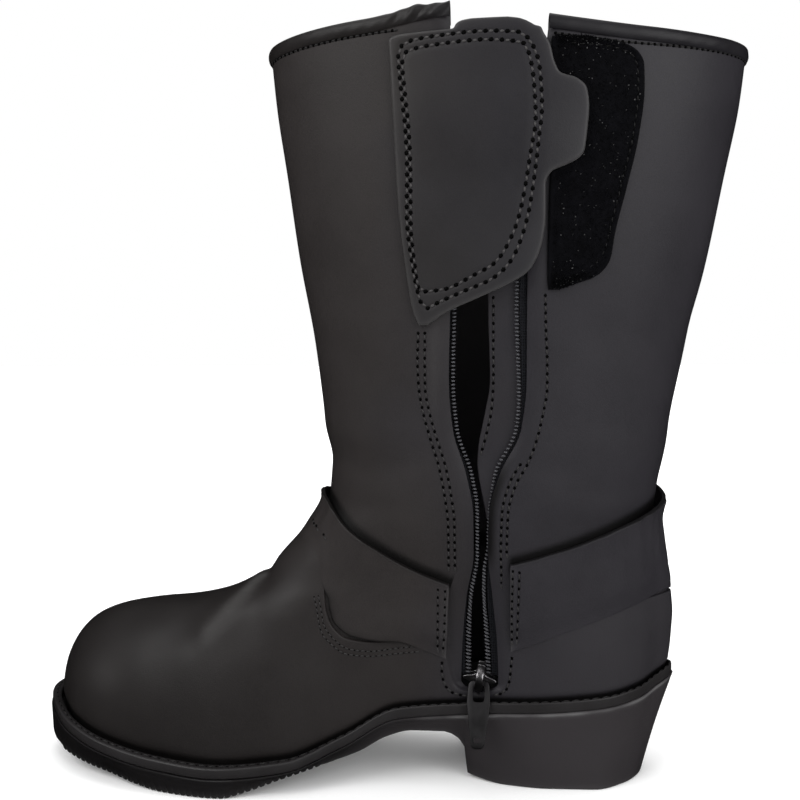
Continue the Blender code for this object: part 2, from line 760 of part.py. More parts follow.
def make_upper(material):
    outer, inner = upper_grids()
    points, faces = [], []

    def number(grid):
        rows = []
        for k, row in enumerate(grid):
            start = len(points)
            closed = k <= CLOSED_ROWS
            points.extend(row[:-1] if closed else row)
            rows.append([start + j for j in range(len(row))])
            if closed:
                rows[-1][-1] = start
        return rows

    out, ins = number(outer), number(inner)
    columns = len(out[0]) - 1
    for grid in (out, ins):
        for low, high in zip(grid, grid[1:]):
            faces += [(low[j], low[j + 1], high[j + 1], high[j]) for j in range(columns)]
    for row in (0, -1):
        faces += [(out[row][j], out[row][j + 1], ins[row][j + 1], ins[row][j]) for j in range(columns)]
    for j in (0, columns):
        for k in range(CLOSED_ROWS, len(ins) - 1):
            shift = 0 if k < VAMP_ROWS else 1
            faces.append((out[k + shift][j], out[k + 1 + shift][j], ins[k + 1][j], ins[k][j]))
        faces.append((out[VAMP_ROWS][j], out[VAMP_ROWS + 1][j], ins[VAMP_ROWS][j]))
    return make_object("upper", points, faces, material)


# Strap, binding and panels
strap_low = column(STRAP, "lap", "low")
strap_high = column(STRAP, "lap", "high")
strap_low_lift = column(STRAP, "lap", "low_lift")
strap_high_lift = column(STRAP, "lap", "high_lift")
strap_low_thick = column(STRAP, "lap", "low_thick")
strap_tuck = column(STRAP, "lap", "tuck")


def strap_lower_edge(lap):
    """Height of the strap's lower edge, which follows the vamp's edge where it is tucked in."""
    vamp = vamp_level(lap)
    _, seam = side_view(lap_turn(lap, vamp), vamp)
    tuck = strap_tuck(lap)
    return strap_low(lap) * (1 - tuck) + (seam + STRAP_SEAM) * tuck


def lap_at(x, z):
    """Lap of the point of the inner side at a place seen from the side."""
    turn, level = inner_place(x, z)
    front, rear = edge_turn(zip_front, level), edge_turn(zip_rear, level)
    return 2 + turn / front if turn < front else (turn - rear) / (math.pi - rear)


def strap_lap(lap, z):
    """Lap of a point of the strap, which leans near both ends so that they run straight."""
    for end in (STRAP_REAR_END, STRAP_FRONT_END):
        near = smooth_step(abs(lap - end.fade), 0, abs(end.lap - end.fade))
        if near > 0 and (lap - end.fade) * (end.lap - end.fade) > 0:
            share = (z - end.low_z) / (end.top_z - end.low_z)
            return lap + (lap_at(end.low_x + (end.top_x - end.low_x) * share, z) - end.lap) * near
    return lap


def make_strap(material):
    first, last = STRAP[0].lap, STRAP[-1].lap
    laps = [first] + [lap for lap in upper_laps() if first < lap < last] + [last]
    sections = []
    for lap in laps:
        low, high = strap_lower_edge(lap), strap_high(lap)
        inside, outside = [], []
        for share in np.linspace(0, 1, STRAP_ROWS):
            z = low + (high - low) * share
            place = strap_lap(lap, z)
            level = level_at(place, z)
            lift = strap_low_lift(lap) + (strap_high_lift(lap) - strap_low_lift(lap)) * share**2
            thick = strap_low_thick(lap) + (STRAP_THICK - strap_low_thick(lap)) * share
            turn = lap_turn(place, level)
            inside.append(skin(turn, level, lift))
            outside.append(skin(turn, level, lift + thick))
        sections.append(inside + outside[::-1])
    return make_object("ankle_strap", *sweep(sections), material)


def make_binding(material):
    """The strip is given by its distance out from the leather and its distance below the collar's edge."""
    lining = -WALL
    profile = (
        (GAP, BINDING_OUTSIDE),
        (GAP + BINDING_THICK, BINDING_OUTSIDE),
        (GAP + BINDING_THICK, 0.5),
        (lining / 2 + 1.4, -BINDING_ROLL),
        (lining / 2 - 1.4, -BINDING_ROLL),
        (lining - GAP - BINDING_THICK, 0.5),
        (lining - GAP - BINDING_THICK, BINDING_INSIDE),
        (lining - GAP, BINDING_INSIDE),
        (lining - GAP, -GAP),
        (GAP, -GAP),
    )
    sections = []
    for lap in upper_laps():
        edge, normal, up = skin_frame(lap_turn(lap, TOP_LEVEL), TOP_LEVEL)
        sections.append([edge + normal * out - up * below for out, below in profile])
    return make_object("collar_binding", *sweep(sections), material)


def inner_skin(x, z, offset):
    turn, level = inner_place(x, z)
    return skin(turn, level, offset)


def panel(rows, shares, lift, thick):
    """Points and faces of a flat panel on the inner side, with a lift that may change along x."""
    sections = []
    for row in rows:
        xs = [row.front + (row.rear - row.front) * share for share in shares]
        inside = [inner_skin(x, row.z, lift(x)) for x in xs]
        outside = [inner_skin(x, row.z, lift(x) + thick) for x in xs]
        sections.append(inside + outside[::-1])
    return sweep(sections)


def make_flap(material):
    def lift(x):
        return FLAP_LIFT + FLAP_RISE * smooth_step(-x, -104, -66)

    return make_object("closure_flap", *panel(FLAP, FLAP_SHARES, lift, FLAP_THICK), material)


def make_patch(material):
    return make_object("loop_patch", *panel(PATCH, PATCH_SHARES, lambda x: PATCH_LIFT, PATCH_THICK), material)


# Zip
def strip(name, material, span, outside, thick):
    """A strip along the zip: span gives its two edges at a height, outside the depth of its outer face."""
    sections = []
    for z in TEETH_HEIGHTS:
        first, last = span(z)
        section = [inner_skin(first, z, -outside), inner_skin(last, z, -outside)]
        section += [inner_skin(last, z, -outside - thick), inner_skin(first, z, -outside - thick)]
        sections.append(section)
    return make_object(name, *sweep(sections), material)


tape_front = column(ZIP, "z", "tape_front")
tape_rear = column(ZIP, "z", "tape_rear")


def make_tapes(material):
    front = strip(
        "zip_tape_front",
        material,
        lambda z: (zip_front(z) + TAPE_HIDDEN, zip_front(z) - tape_front(z)),
        TAPE_DEPTH,
        TAPE_THICK,
    )
    rear = strip(
        "zip_tape_rear",
        material,
        lambda z: (zip_rear(z) - TAPE_HIDDEN, zip_rear(z) + tape_rear(z)),
        TAPE_DEPTH,
        TAPE_THICK,
    )
    return [front, rear]


def make_teeth(material):
    def front_span(z):
        edge = zip_front(z) - tape_front(z) - GAP
        return edge, edge - TEETH_WIDTH

    def rear_span(z):
        edge = zip_rear(z) + tape_rear(z) + GAP
        return edge, edge + TEETH_WIDTH

    front = strip("zip_teeth_front", material, front_span, TEETH_DEPTH, TEETH_THICK)
    rear = strip("zip_teeth_rear", material, rear_span, TEETH_DEPTH, TEETH_THICK)
    return [front, rear]


def make_facing(material):
    edge = column(FACING, "z", "edge")
    under_tape = TAPE_DEPTH + TAPE_THICK + GAP
    under_teeth = TEETH_DEPTH + TEETH_THICK + GAP
    sections = []
    for row in FACING:
        rear = zip_rear(row.z)
        teeth = rear + tape_rear(row.z)
        places = (
            (rear - FACING_SEAM, TAPE_DEPTH),
            (rear - TAPE_HIDDEN - 2.5, TAPE_DEPTH),
            (rear - TAPE_HIDDEN - 0.5, under_tape),
            (teeth - 1.0, under_teeth),
            (edge(row.z), under_teeth),
        )
        outside = [inner_skin(x, row.z, -depth) for x, depth in places]
        inside = [inner_skin(x, row.z, -depth - FACING_THICK) for x, depth in places]
        sections.append(outside + inside[::-1])
    return make_object("zip_facing", *sweep(sections), material)


def slider_frame():
    """Place of the slider on the skin, with its forward, upward and outward directions."""
    turn, level = inner_place(SLIDER_X, SLIDER_Z)
    point, out, up = skin_frame(turn, level)
    forward = np.cross(out, up)
    return point, forward / np.linalg.norm(forward), up, out


def join(obj, other, operation):
    """Blender's Boolean of two objects, the second of which is only a helper."""
    other.hide_render = True
    other.display_type = "WIRE"
    cut = obj.modifiers.new(operation.lower(), "BOOLEAN")
    cut.operation = operation
    cut.solver = "EXACT"
    cut.object = other


def make_slider(material):
    point, forward, up, out = slider_frame()
    half = SLIDER_HEIGHT / 2
    shield = (
        (-SLIDER_TOP_WIDTH / 2, half - 3),
        (-SLIDER_TOP_WIDTH / 2 + 2, half),
        (SLIDER_TOP_WIDTH / 2 - 2, half),
        (SLIDER_TOP_WIDTH / 2, half - 3),
        (SLIDER_FOOT_WIDTH / 2, -half + 1),
        (SLIDER_FOOT_WIDTH / 2 - 1, -half),
        (-SLIDER_FOOT_WIDTH / 2 + 1, -half),
        (-SLIDER_FOOT_WIDTH / 2, -half + 1),
    )
    back = SLIDER_FACE - SLIDER_DEPTH
    layers = (
        (SLIDER_FACE, 1.0),
        (SLIDER_FACE - SLIDER_PLATE, 1.0),
        (SLIDER_FACE - SLIDER_PLATE, SLIDER_CORE),
        (back + SLIDER_PLATE, SLIDER_CORE),
        (back + SLIDER_PLATE, 1.0),
        (back, 1.0),
    )
    sections = []
    for depth, size in layers:
        sections.append([point + forward * a * size + up * b * size + out * depth for a, b in shield])
    slider = make_object("zip_slider", *sweep(sections), material)

    sections = []
    for k in range(9):
        angle = math.pi * k / 8
        section = []
        for side, inset in ((-1, 0), (1, 0), (1, ARCH_THICK), (-1, ARCH_THICK)):
            along_zip = math.cos(angle) * (ARCH_REACH - inset)
            rise = SLIDER_FACE - SLIDER_PLATE / 2 + math.sin(angle) * (ARCH_RISE + SLIDER_PLATE / 2 - inset)
            section.append(point + forward * side * ARCH_WIDTH / 2 + up * along_zip + out * rise)
        sections.append(section)
    arch = make_object("slider_arch", *sweep(sections), material)
    join(slider, arch, "UNION")
    return slider, arch


def make_pull(material):
    """The pull is modelled about its pin, hanging down and leaning out over the welt."""
    point, forward, up, out = slider_frame()
    pin = point + out * PIN_OUT - up * PIN_DOWN
    level_out = np.array([out[0], out[1], 0.0]) / np.hypot(out[0], out[1])
    reach = level_out * math.sin(PULL_TILT) - np.array([0.0, 0.0, 1.0]) * math.cos(PULL_TILT)
    across = np.cross(reach, level_out)
    across /= np.linalg.norm(across)
    face = np.cross(across, reach)

    def plate(name, outline, thick):
        sections = []
        for depth in (-thick / 2, thick / 2):
            sections.append([pin + reach * a + across * b + face * depth for a, b in outline])
        return make_object(name, *sweep(sections), material, origin=pin)

    def hole(name, start, end, half):
        return plate(name, ((start, -half), (end, -half), (end, half), (start, half)), PULL_THICK * 2)

    outline = [(row.reach, row.half) for row in PULL] + [(row.reach, -row.half) for row in reversed(PULL)]
    pull = plate("zip_pull", outline, PULL_THICK)
    helpers = [hole("pull_window", *PULL_WINDOW), hole("pull_slot", *PULL_SLOT)]
    for helper in helpers:
        join(pull, helper, "DIFFERENCE")
    return pull, *helpers


def clear_scene():
    for obj in list(bpy.data.objects):
        bpy.data.objects.remove(obj)


def main():
    clear_scene()
    rubber = make_material("rubber", RUBBER, 0.62)
    leather = make_material("leather", LEATHER, 0.48)
    strap_leather = make_material("strap_leather", STRAP_LEATHER, 0.45)
    lining = make_material("lining", LINING, 0.8)
    textile = make_material("zip_textile", LINING, 0.7)
    pile = make_material("loop_pile", PILE, 0.95)
    metal = make_material("gunmetal", GUNMETAL, 0.35, 1.0)
    pieces = [
        make_outsole(rubber),
        make_welt(rubber),
        make_insole(lining),
        make_upper(leather),
        make_strap(strap_leather),
        make_binding(leather),
        *make_tapes(textile),
        *make_teeth(textile),
        make_facing(leather),
        *make_slider(metal),
        *make_pull(metal),
        make_flap(leather),
        make_patch(pile),
    ]
    boot = bpy.data.objects.new("boot", None)
    bpy.context.scene.collection.objects.link(boot)
    boot.location = Vector((-HEEL_TO_ORIGIN, -MIDDLE_TO_ORIGIN, 0)) * MM
    for piece in pieces:
        piece.parent = boot


main()
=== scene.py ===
import math

import bpy
import numpy as np
from mathutils import Matrix, Vector


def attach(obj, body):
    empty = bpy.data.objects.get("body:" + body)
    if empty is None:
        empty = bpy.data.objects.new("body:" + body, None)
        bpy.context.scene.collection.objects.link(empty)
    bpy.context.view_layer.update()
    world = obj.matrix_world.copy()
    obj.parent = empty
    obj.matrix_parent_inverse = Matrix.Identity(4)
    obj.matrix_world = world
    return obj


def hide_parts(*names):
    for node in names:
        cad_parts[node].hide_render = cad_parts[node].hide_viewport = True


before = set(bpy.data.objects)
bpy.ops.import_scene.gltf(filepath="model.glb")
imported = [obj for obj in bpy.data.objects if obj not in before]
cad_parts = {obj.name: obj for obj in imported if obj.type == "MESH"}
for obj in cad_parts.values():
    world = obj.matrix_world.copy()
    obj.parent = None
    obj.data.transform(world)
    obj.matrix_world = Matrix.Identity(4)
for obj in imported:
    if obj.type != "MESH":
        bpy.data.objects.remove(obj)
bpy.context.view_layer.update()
dice = np.random.default_rng(11)
print("frame loaded with", len(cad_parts), "nodes")


# the last, in millimetres: x forward from the heel's back, y to the inner side, z up from the floor
lastForm = {
    "origin": (132.9, -4.5, 0.0),
    "wall": 2.2,
    "vampStep": 1.4,
    "weltThick": 4.5,
    "weltGap": 0.5,
    "bedGap": 1.6,
    "toeSwing": -16.0,
    "toeSwingStart": 190.0,
    "collarRise": 7.0,
    "collarRiseSpan": (14.0, 105.0),
    "shoulder": 2.3,
    "shaftRound": 0.95,
    "footToShaft": (55.0, 145.0),
    "featherFade": 8.0,
    "flush": (84.0, 95.0),
    "instepLevel": 12,
    "instepSlope": 1.2,
    # x, inner reach, outer reach, top of the welt, ledge
    "sole": (
        (-5.4, 0.0, 0.0, 51.0, 2.4),
        (3.5, 12.5, 13.0, 48.3, 2.4),
        (14.0, 23.5, 24.5, 45.5, 2.6),
        (32.0, 33.0, 33.0, 43.5, 2.8),
        (58.0, 36.0, 36.5, 42.0, 3.0),
        (90.0, 33.0, 38.0, 40.0, 3.2),
        (125.0, 31.5, 43.5, 36.5, 3.4),
        (150.0, 35.0, 50.0, 24.0, 4.6),
        (175.0, 44.0, 55.0, 15.5, 6.4),
        (205.0, 48.5, 57.5, 14.0, 7.0),
        (235.0, 44.0, 56.5, 16.0, 6.6),
        (263.0, 34.5, 52.5, 20.0, 6.2),
        (283.5, 21.0, 45.5, 25.0, 5.8),
        (296.0, 4.5, 35.0, 29.0, 5.6),
        (302.3, -16.0, 16.0, 30.5, 5.6),
    ),
    # front x, front z, back x, back z, inner half, outer half, from the sole up to the collar
    "levels": (
        (294.2, 34.0, -1.8, 53.0, 36.0, 36.0),
        (292.6, 45.0, -2.6, 60.0, 36.0, 36.0),
        (287.8, 55.6, -3.2, 68.0, 36.5, 36.5),
        (278.8, 65.0, -3.6, 75.0, 37.0, 37.0),
        (266.0, 71.0, -3.2, 81.0, 37.5, 37.5),
        (247.5, 75.2, -2.5, 87.0, 38.0, 38.0),
        (225.5, 78.4, -1.5, 92.0, 38.0, 38.5),
        (205.5, 83.6, 0.7, 97.5, 38.5, 39.0),
        (191.5, 89.5, 2.2, 104.0, 39.0, 39.5),
        (180.5, 101.8, 3.8, 113.0, 39.0, 40.0),
        (168.0, 116.0, 5.2, 122.0, 39.5, 40.5),
        (158.2, 131.0, 3.6, 133.0, 40.0, 41.0),
        (157.2, 147.0, 1.0, 148.0, 40.0, 41.0),
        (160.0, 167.0, -1.6, 166.0, 40.5, 41.5),
        (164.7, 204.5, -9.4, 203.7, 42.5, 43.0),
        (171.5, 242.4, -18.1, 240.7, 44.0, 44.5),
        (176.8, 280.0, -25.3, 277.3, 44.5, 45.0),
        (181.5, 312.0, -31.8, 310.0, 44.0, 44.5),
        (184.0, 337.6, -34.6, 333.6, 43.5, 44.0),
    ),
    # x, z of the vamp's upper edge
    "vampEdge": (
        (-8.0, 86.0), (30.0, 84.5), (70.0, 77.0), (112.0, 69.0), (126.0, 67.3), (137.0, 66.6), (147.5, 68.2),
        (154.0, 73.7), (156.8, 81.0), (158.0, 92.0), (160.0, 104.0), (166.0, 111.0), (200.0, 112.0),
    ),
    # z, front edge, rear edge, front tape, rear tape
    "zip": (
        (44.6, 87.0, 87.0, 1.8, 3.2),
        (45.5, 92.2, 81.8, 1.8, 3.2),
        (48.6, 95.5, 78.6, 1.8, 3.2),
        (64.0, 95.0, 79.0, 1.2, 3.2),
        (88.0, 93.0, 81.3, 0.4, 2.4),
        (108.0, 89.9, 83.3, 0.1, 0.1),
        (127.0, 90.2, 83.0, 0.3, 0.1),
        (145.0, 93.3, 78.5, 0.8, 0.8),
        (165.0, 99.3, 69.0, 0.2, 0.6),
        (186.0, 101.0, 66.8, 0.2, 1.8),
        (222.0, 100.3, 66.8, 0.2, 3.0),
        (300.0, 100.0, 62.0, 0.2, 3.0),
        (346.0, 100.0, 57.2, 0.2, 3.0),
    ),
}


def smoothCurve(xs, ys):
    xs, ys = np.asarray(xs, float), np.asarray(ys, float)
    step = np.diff(xs)
    slope = np.diff(ys) / step
    before, after = slope[:-1], slope[1:]
    sameWay = before * after > 0
    bend = np.where(sameWay, 2 * before * after / np.where(sameWay, before + after, 1.0), 0.0)
    tangent = np.concatenate([slope[:1], bend, slope[-1:]])

    def at(x):
        x = np.clip(np.asarray(x, float), xs[0], xs[-1])
        i = np.clip(np.searchsorted(xs, x, side="right") - 1, 0, len(step) - 1)
        u = (x - xs[i]) / step[i]
        low = ys[i] * (1 + 2 * u) * (1 - u) ** 2 + tangent[i] * step[i] * u * (1 - u) ** 2
        return low + ys[i + 1] * u * u * (3 - 2 * u) + tangent[i + 1] * step[i] * u * u * (u - 1)

    return at


def columnOf(rows, key, value):
    return smoothCurve([row[key] for row in rows], [row[value] for row in rows])


def smoothStep(value, start, end):
    share = np.clip((value - start) / (end - start), 0.0, 1.0)
    return share * share * (3 - 2 * share)


def between(value, start, full, fall, end):
    return smoothStep(value, start, full) * (1 - smoothStep(value, fall, end))


def waves(rows, first, second):
    # each row: height, how fast it runs along the first and the second value, and its start
    return sum(
        height * np.sin(first * one + second * two + start) for height, one, two, start in rows
    )


def blunt(value, power):
    return np.sign(value) * np.abs(value) ** power


def travelled(points):
    return np.concatenate([[0.0], np.cumsum(np.linalg.norm(np.diff(points, axis=0), axis=1))])


def solveRising(rising, target, low, high):
    target = np.asarray(target, float)
    low = np.full(target.shape, float(low))
    high = np.full(target.shape, float(high))
    for _ in range(32):
        middle = (low + high) / 2
        under = rising(middle) < target
        low = np.where(under, middle, low)
        high = np.where(under, high, middle)
    return (low + high) / 2


# plan of the sole: turns run from the toe over the inner side to the heel and back over the outer side
soleRows = lastForm["sole"]
soleBack, soleFront = soleRows[0][0], soleRows[-1][0]


def turnAt(x, back, front):
    return np.arccos(np.clip((2 * x - back - front) / (front - back), -1.0, 1.0))


def along(turn, back, front):
    return back + (front - back) * (1 + np.cos(turn)) / 2


def soleCurve(value):
    rows = soleRows[::-1]
    turns = [float(turnAt(row[0], soleBack, soleFront)) for row in rows]
    return smoothCurve(turns, [row[value] for row in rows])


innerReach, outerReach, ledgeWidth = soleCurve(1), soleCurve(2), soleCurve(4)
soleTop = columnOf(soleRows, 0, 3)


def outsoleTop(x):
    return soleTop(x) - lastForm["weltThick"] - lastForm["weltGap"]


def edgePoint(turn):
    turn = np.mod(turn, math.tau)
    y = np.where(turn <= math.pi, innerReach(turn), -outerReach(math.tau - turn))
    return np.stack([along(turn, soleBack, soleFront), y], -1)


def edgeInset(turn, distance):
    ahead = edgePoint(turn + 0.01) - edgePoint(turn - 0.01)
    inward = np.stack([-ahead[..., 1], ahead[..., 0]], -1) / np.linalg.norm(ahead, axis=-1, keepdims=True)
    return edgePoint(turn) + inward * np.asarray(distance)[..., None]


def ledgeAt(turn):
    turn = np.mod(turn, math.tau)
    return ledgeWidth(np.minimum(turn, math.tau - turn))


def featherHalf(side):
    turns = np.linspace(0, math.pi, 121)
    turns = turns if side > 0 else math.tau - turns
    points = edgeInset(turns, ledgeAt(turns) + lastForm["vampStep"])
    back, front = points[-1, 0], points[0, 0]
    return back, front, turnAt(points[:, 0], back, front), points[:, 1]


featherBack, featherFront, innerTurns, innerFeather = featherHalf(1)
outerTurns, outerFeather = featherHalf(-1)[2:]


def bed(x):
    return outsoleTop(x) + lastForm["bedGap"]


# the skin is the outer face of the shaft's leather
featherRow = (featherFront, float(bed(featherFront)), featherBack, float(bed(featherBack)))
levelRows = (featherRow + lastForm["levels"][0][4:],) + lastForm["levels"]
topLevel = len(levelRows) - 1
frontX, frontZ, backX, backZ, shaftInner, shaftOuter = (
    smoothCurve(range(len(levelRows)), [row[k] for row in levelRows]) for k in range(6)
)
ridgeLevels = np.linspace(lastForm["instepLevel"], 0, 240)
ridgeX, ridgeZ = frontX(ridgeLevels), frontZ(ridgeLevels)


def ridge(x):
    behind = ridgeZ[0] + lastForm["instepSlope"] * (ridgeX[0] - x)
    return np.where(x < ridgeX[0], behind, np.interp(x, ridgeX, ridgeZ))


def toeSwing(x):
    return lastForm["toeSwing"] * smoothStep(x, lastForm["toeSwingStart"], featherFront)


def sideView(turn, level):
    share = (1 + np.cos(turn)) / 2
    x = along(turn, backX(level), frontX(level))
    z = backZ(level) + (frontZ(level) - backZ(level)) * share
    straight = bed(featherBack) + (bed(featherFront) - bed(featherBack)) * share
    fade = 1 - smoothStep(level, 0, lastForm["featherFade"])
    z = z + (bed(along(turn, featherBack, featherFront)) - straight) * fade
    rise = lastForm["collarRise"] * smoothStep(x, *lastForm["collarRiseSpan"])
    rise = rise * np.sin(turn) ** 2 * smoothStep(level, topLevel - 3, topLevel)
    return x, z + np.where(np.sin(turn) > 0, rise, 0.0)


def skinPoint(turn, level):
    turn = np.mod(turn, math.tau)
    inner = turn <= math.pi
    x, z = sideView(turn, level)
    share = (1 + np.cos(turn)) / 2
    shifted = turnAt(x + (featherBack - backX(level)) * (1 - share) ** 2, featherBack, featherFront)
    centre = toeSwing(x)
    height = np.clip((z - bed(x)) / np.maximum(ridge(x) - bed(x), 1.0), 0.0, 1.0)
    section = np.sqrt(1 - height ** lastForm["shoulder"])
    innerSide = np.interp(shifted, innerTurns, innerFeather)
    outerSide = np.interp(shifted, outerTurns, outerFeather)
    reach = np.where(inner, innerSide, outerSide)
    foot = np.where(np.abs(np.sin(turn)) < 1e-6, centre, centre + (reach - centre) * section)
    half = np.where(inner, shaftInner(level), -shaftOuter(level))
    shaft = half * np.abs(np.sin(turn)) ** lastForm["shaftRound"]
    mix = smoothStep(z, *lastForm["footToShaft"])
    return np.stack([x, foot * (1 - mix) + shaft * mix, z], -1)


def unit(vectors):
    return vectors / np.maximum(np.linalg.norm(vectors, axis=-1, keepdims=True), 1e-9)


def skinFrame(turn, level):
    step = 0.02
    up = skinPoint(turn, np.minimum(level + step, topLevel)) - skinPoint(turn, np.maximum(level - step, 0))
    around = skinPoint(turn + step, level) - skinPoint(turn - step, level)
    return skinPoint(turn, level), unit(np.cross(around, up)), unit(up)


def skin(turn, level, offset):
    point, normal, _ = skinFrame(turn, level)
    return point + normal * np.asarray(offset)[..., None]


# laps: 0 at the zip's rear edge, 1 at the back line, 2 at the front line, 3 at the zip's front edge
zipFront, zipRear, tapeFront, tapeRear = (columnOf(lastForm["zip"], 0, k) for k in (1, 2, 3, 4))
vampEdge = columnOf(lastForm["vampEdge"], 0, 1)


def innerTurn(x, level):
    return turnAt(x, backX(level), frontX(level))


def edgeTurn(edge, level):
    x = np.full(np.shape(level), lastForm["zip"][0][1])
    for _ in range(6):
        x = edge(sideView(innerTurn(x, level), level)[1])
    return innerTurn(x, level)


def lapTurn(lap, level):
    rear, front = edgeTurn(zipRear, level), edgeTurn(zipFront, level)
    late = np.where(lap <= 2, math.pi * lap, math.tau + front * (lap - 2))
    return np.where(lap <= 1, rear + (math.pi - rear) * lap, late)


def levelAt(lap, z):
    return solveRising(lambda level: sideView(lapTurn(lap, level), level)[1], z, 0, topLevel)


def innerPlace(x, z):
    level = solveRising(lambda level: sideView(innerTurn(x, level), level)[1], z, 0, topLevel)
    return innerTurn(x, level), level


def innerSkin(x, z, offset):
    turn, level = innerPlace(*np.broadcast_arrays(np.asarray(x, float), np.asarray(z, float)))
    return skin(turn, level, offset)


def lapAt(x, z):
    turn, level = innerPlace(x, z)
    rear, front = edgeTurn(zipRear, level), edgeTurn(zipFront, level)
    return np.where(turn < front * 1.0001, 2 + turn / front, (turn - rear) / (math.pi - rear))


def vampLevel(lap):
    def over(level):
        x, z = sideView(lapTurn(lap, level), level)
        return z - vampEdge(x)

    return solveRising(over, np.zeros(np.shape(lap)), 0, lastForm["instepLevel"])


def vampFlush(lap):
    # 1 where the strap runs flush into the vamp over the instep, 0 where the vamp's edge shows
    vamp = vampLevel(lap)
    return smoothStep(sideView(lapTurn(lap, vamp), vamp)[1], *lastForm["flush"])


# shader maths: a value wraps one socket, and a finish is a material with one Principled shader
class Value:
    def __init__(self, finish, socket):
        self.finish, self.socket = finish, socket

    def maths(self, operation, first, second):
        return self.finish.node("ShaderNodeMath", {"operation": operation}, {0: first, 1: second})

    def __add__(self, other):
        return self.maths("ADD", self, other)

    def __radd__(self, other):
        return self.maths("ADD", other, self)

    def __sub__(self, other):
        return self.maths("SUBTRACT", self, other)

    def __rsub__(self, other):
        return self.maths("SUBTRACT", other, self)

    def __mul__(self, other):
        return self.maths("MULTIPLY", self, other)


class Finish:
    def __init__(self, name, **fixed):
        self.material = bpy.data.materials.new(name)
        self.material.use_nodes = True
        self.tree = self.material.node_tree
        self.shader = self.tree.nodes["Principled BSDF"]
        for socket, value in fixed.items():
            self.shader.inputs[socket].default_value = value

    def node(self, kind, settings=None, inputs=None, out=0):
        node = self.tree.nodes.new(kind)
        for key, value in (settings or {}).items():
            if key == "stops":
                for k, (place, shade) in enumerate(value):
                    stop = node.color_ramp.elements[k]
                    stop.position, stop.color = place, (shade, shade, shade, 1.0)
            else:
                setattr(node, key, value)
        for key, value in (inputs or {}).items():
            self.feed(node.inputs[key], value)
        return Value(self, node.outputs[out])

    def feed(self, socket, value):
        if isinstance(value, Value):
            self.tree.links.new(value.socket, socket)
        else:
            socket.default_value = value

    def shade(self, **links):
        for socket, value in links.items():
            self.feed(self.shader.inputs[socket.replace("_", " ")], value)

    def place(self, stretch=(1.0, 1.0, 1.0)):
        spot = self.node("ShaderNodeTexCoord", out=3)
        return self.node("ShaderNodeMapping", inputs={"Vector": spot, "Scale": stretch})

    def noise(self, where, scale, detail=3.0, rough=0.55):
        inputs = {"Vector": where, "Scale": scale, "Detail": detail, "Roughness": rough}
        return self.node("ShaderNodeTexNoise", inputs=inputs)

    def cells(self, where, scale):
        return self.node("ShaderNodeTexVoronoi", inputs={"Vector": where, "Scale": scale})

    def mix(self, factor, first, second):
        return self.node("ShaderNodeMix", {"data_type": "RGBA"}, {0: factor, 6: first, 7: second}, out=2)

    def ramp(self, value, *stops):
        return self.node("ShaderNodeValToRGB", {"stops": stops}, {"Fac": value})

    def part(self, where, axis):
        return self.node("ShaderNodeSeparateXYZ", inputs={"Vector": where}, out=axis)

    def fade(self, value, start, end, first=0.0, last=1.0):
        return self.node("ShaderNodeMapRange", inputs={0: value, 1: start, 2: end, 3: first, 4: last})

    def mark(self, name):
        return self.node("ShaderNodeAttribute", {"attribute_name": name}, out=2)

    def bump(self, height, strength, distance):
        inputs = {"Strength": strength, "Distance": distance, "Height": height}
        return self.node("ShaderNodeBump", inputs=inputs)


def rgb(shade, red=1.0, blue=1.0):
    return (shade * red, shade, shade * blue, 1.0)


# toe sets the painted shade on the toe, heel the painted light on the heel, and foot the painted light on the
# flap's foot
leatherTones = {
    "shaft": {"shade": 0.0166, "rough": 0.50, "level": 0.32, "grain": 0.14, "toe": 0.36, "heel": 0.4},
    "flap": {"shade": 0.0124, "rough": 0.45, "level": 0.42, "grain": 0.12, "foot": 0.22},
    "strap": {"shade": 0.0182, "rough": 0.52, "level": 0.30, "grain": 0.14},
    "binding": {"shade": 0.0090, "rough": 0.46, "level": 0.30, "grain": 0.16},
    "facing": {"shade": 0.0175, "rough": 0.50, "level": 0.34, "grain": 0.12},
}


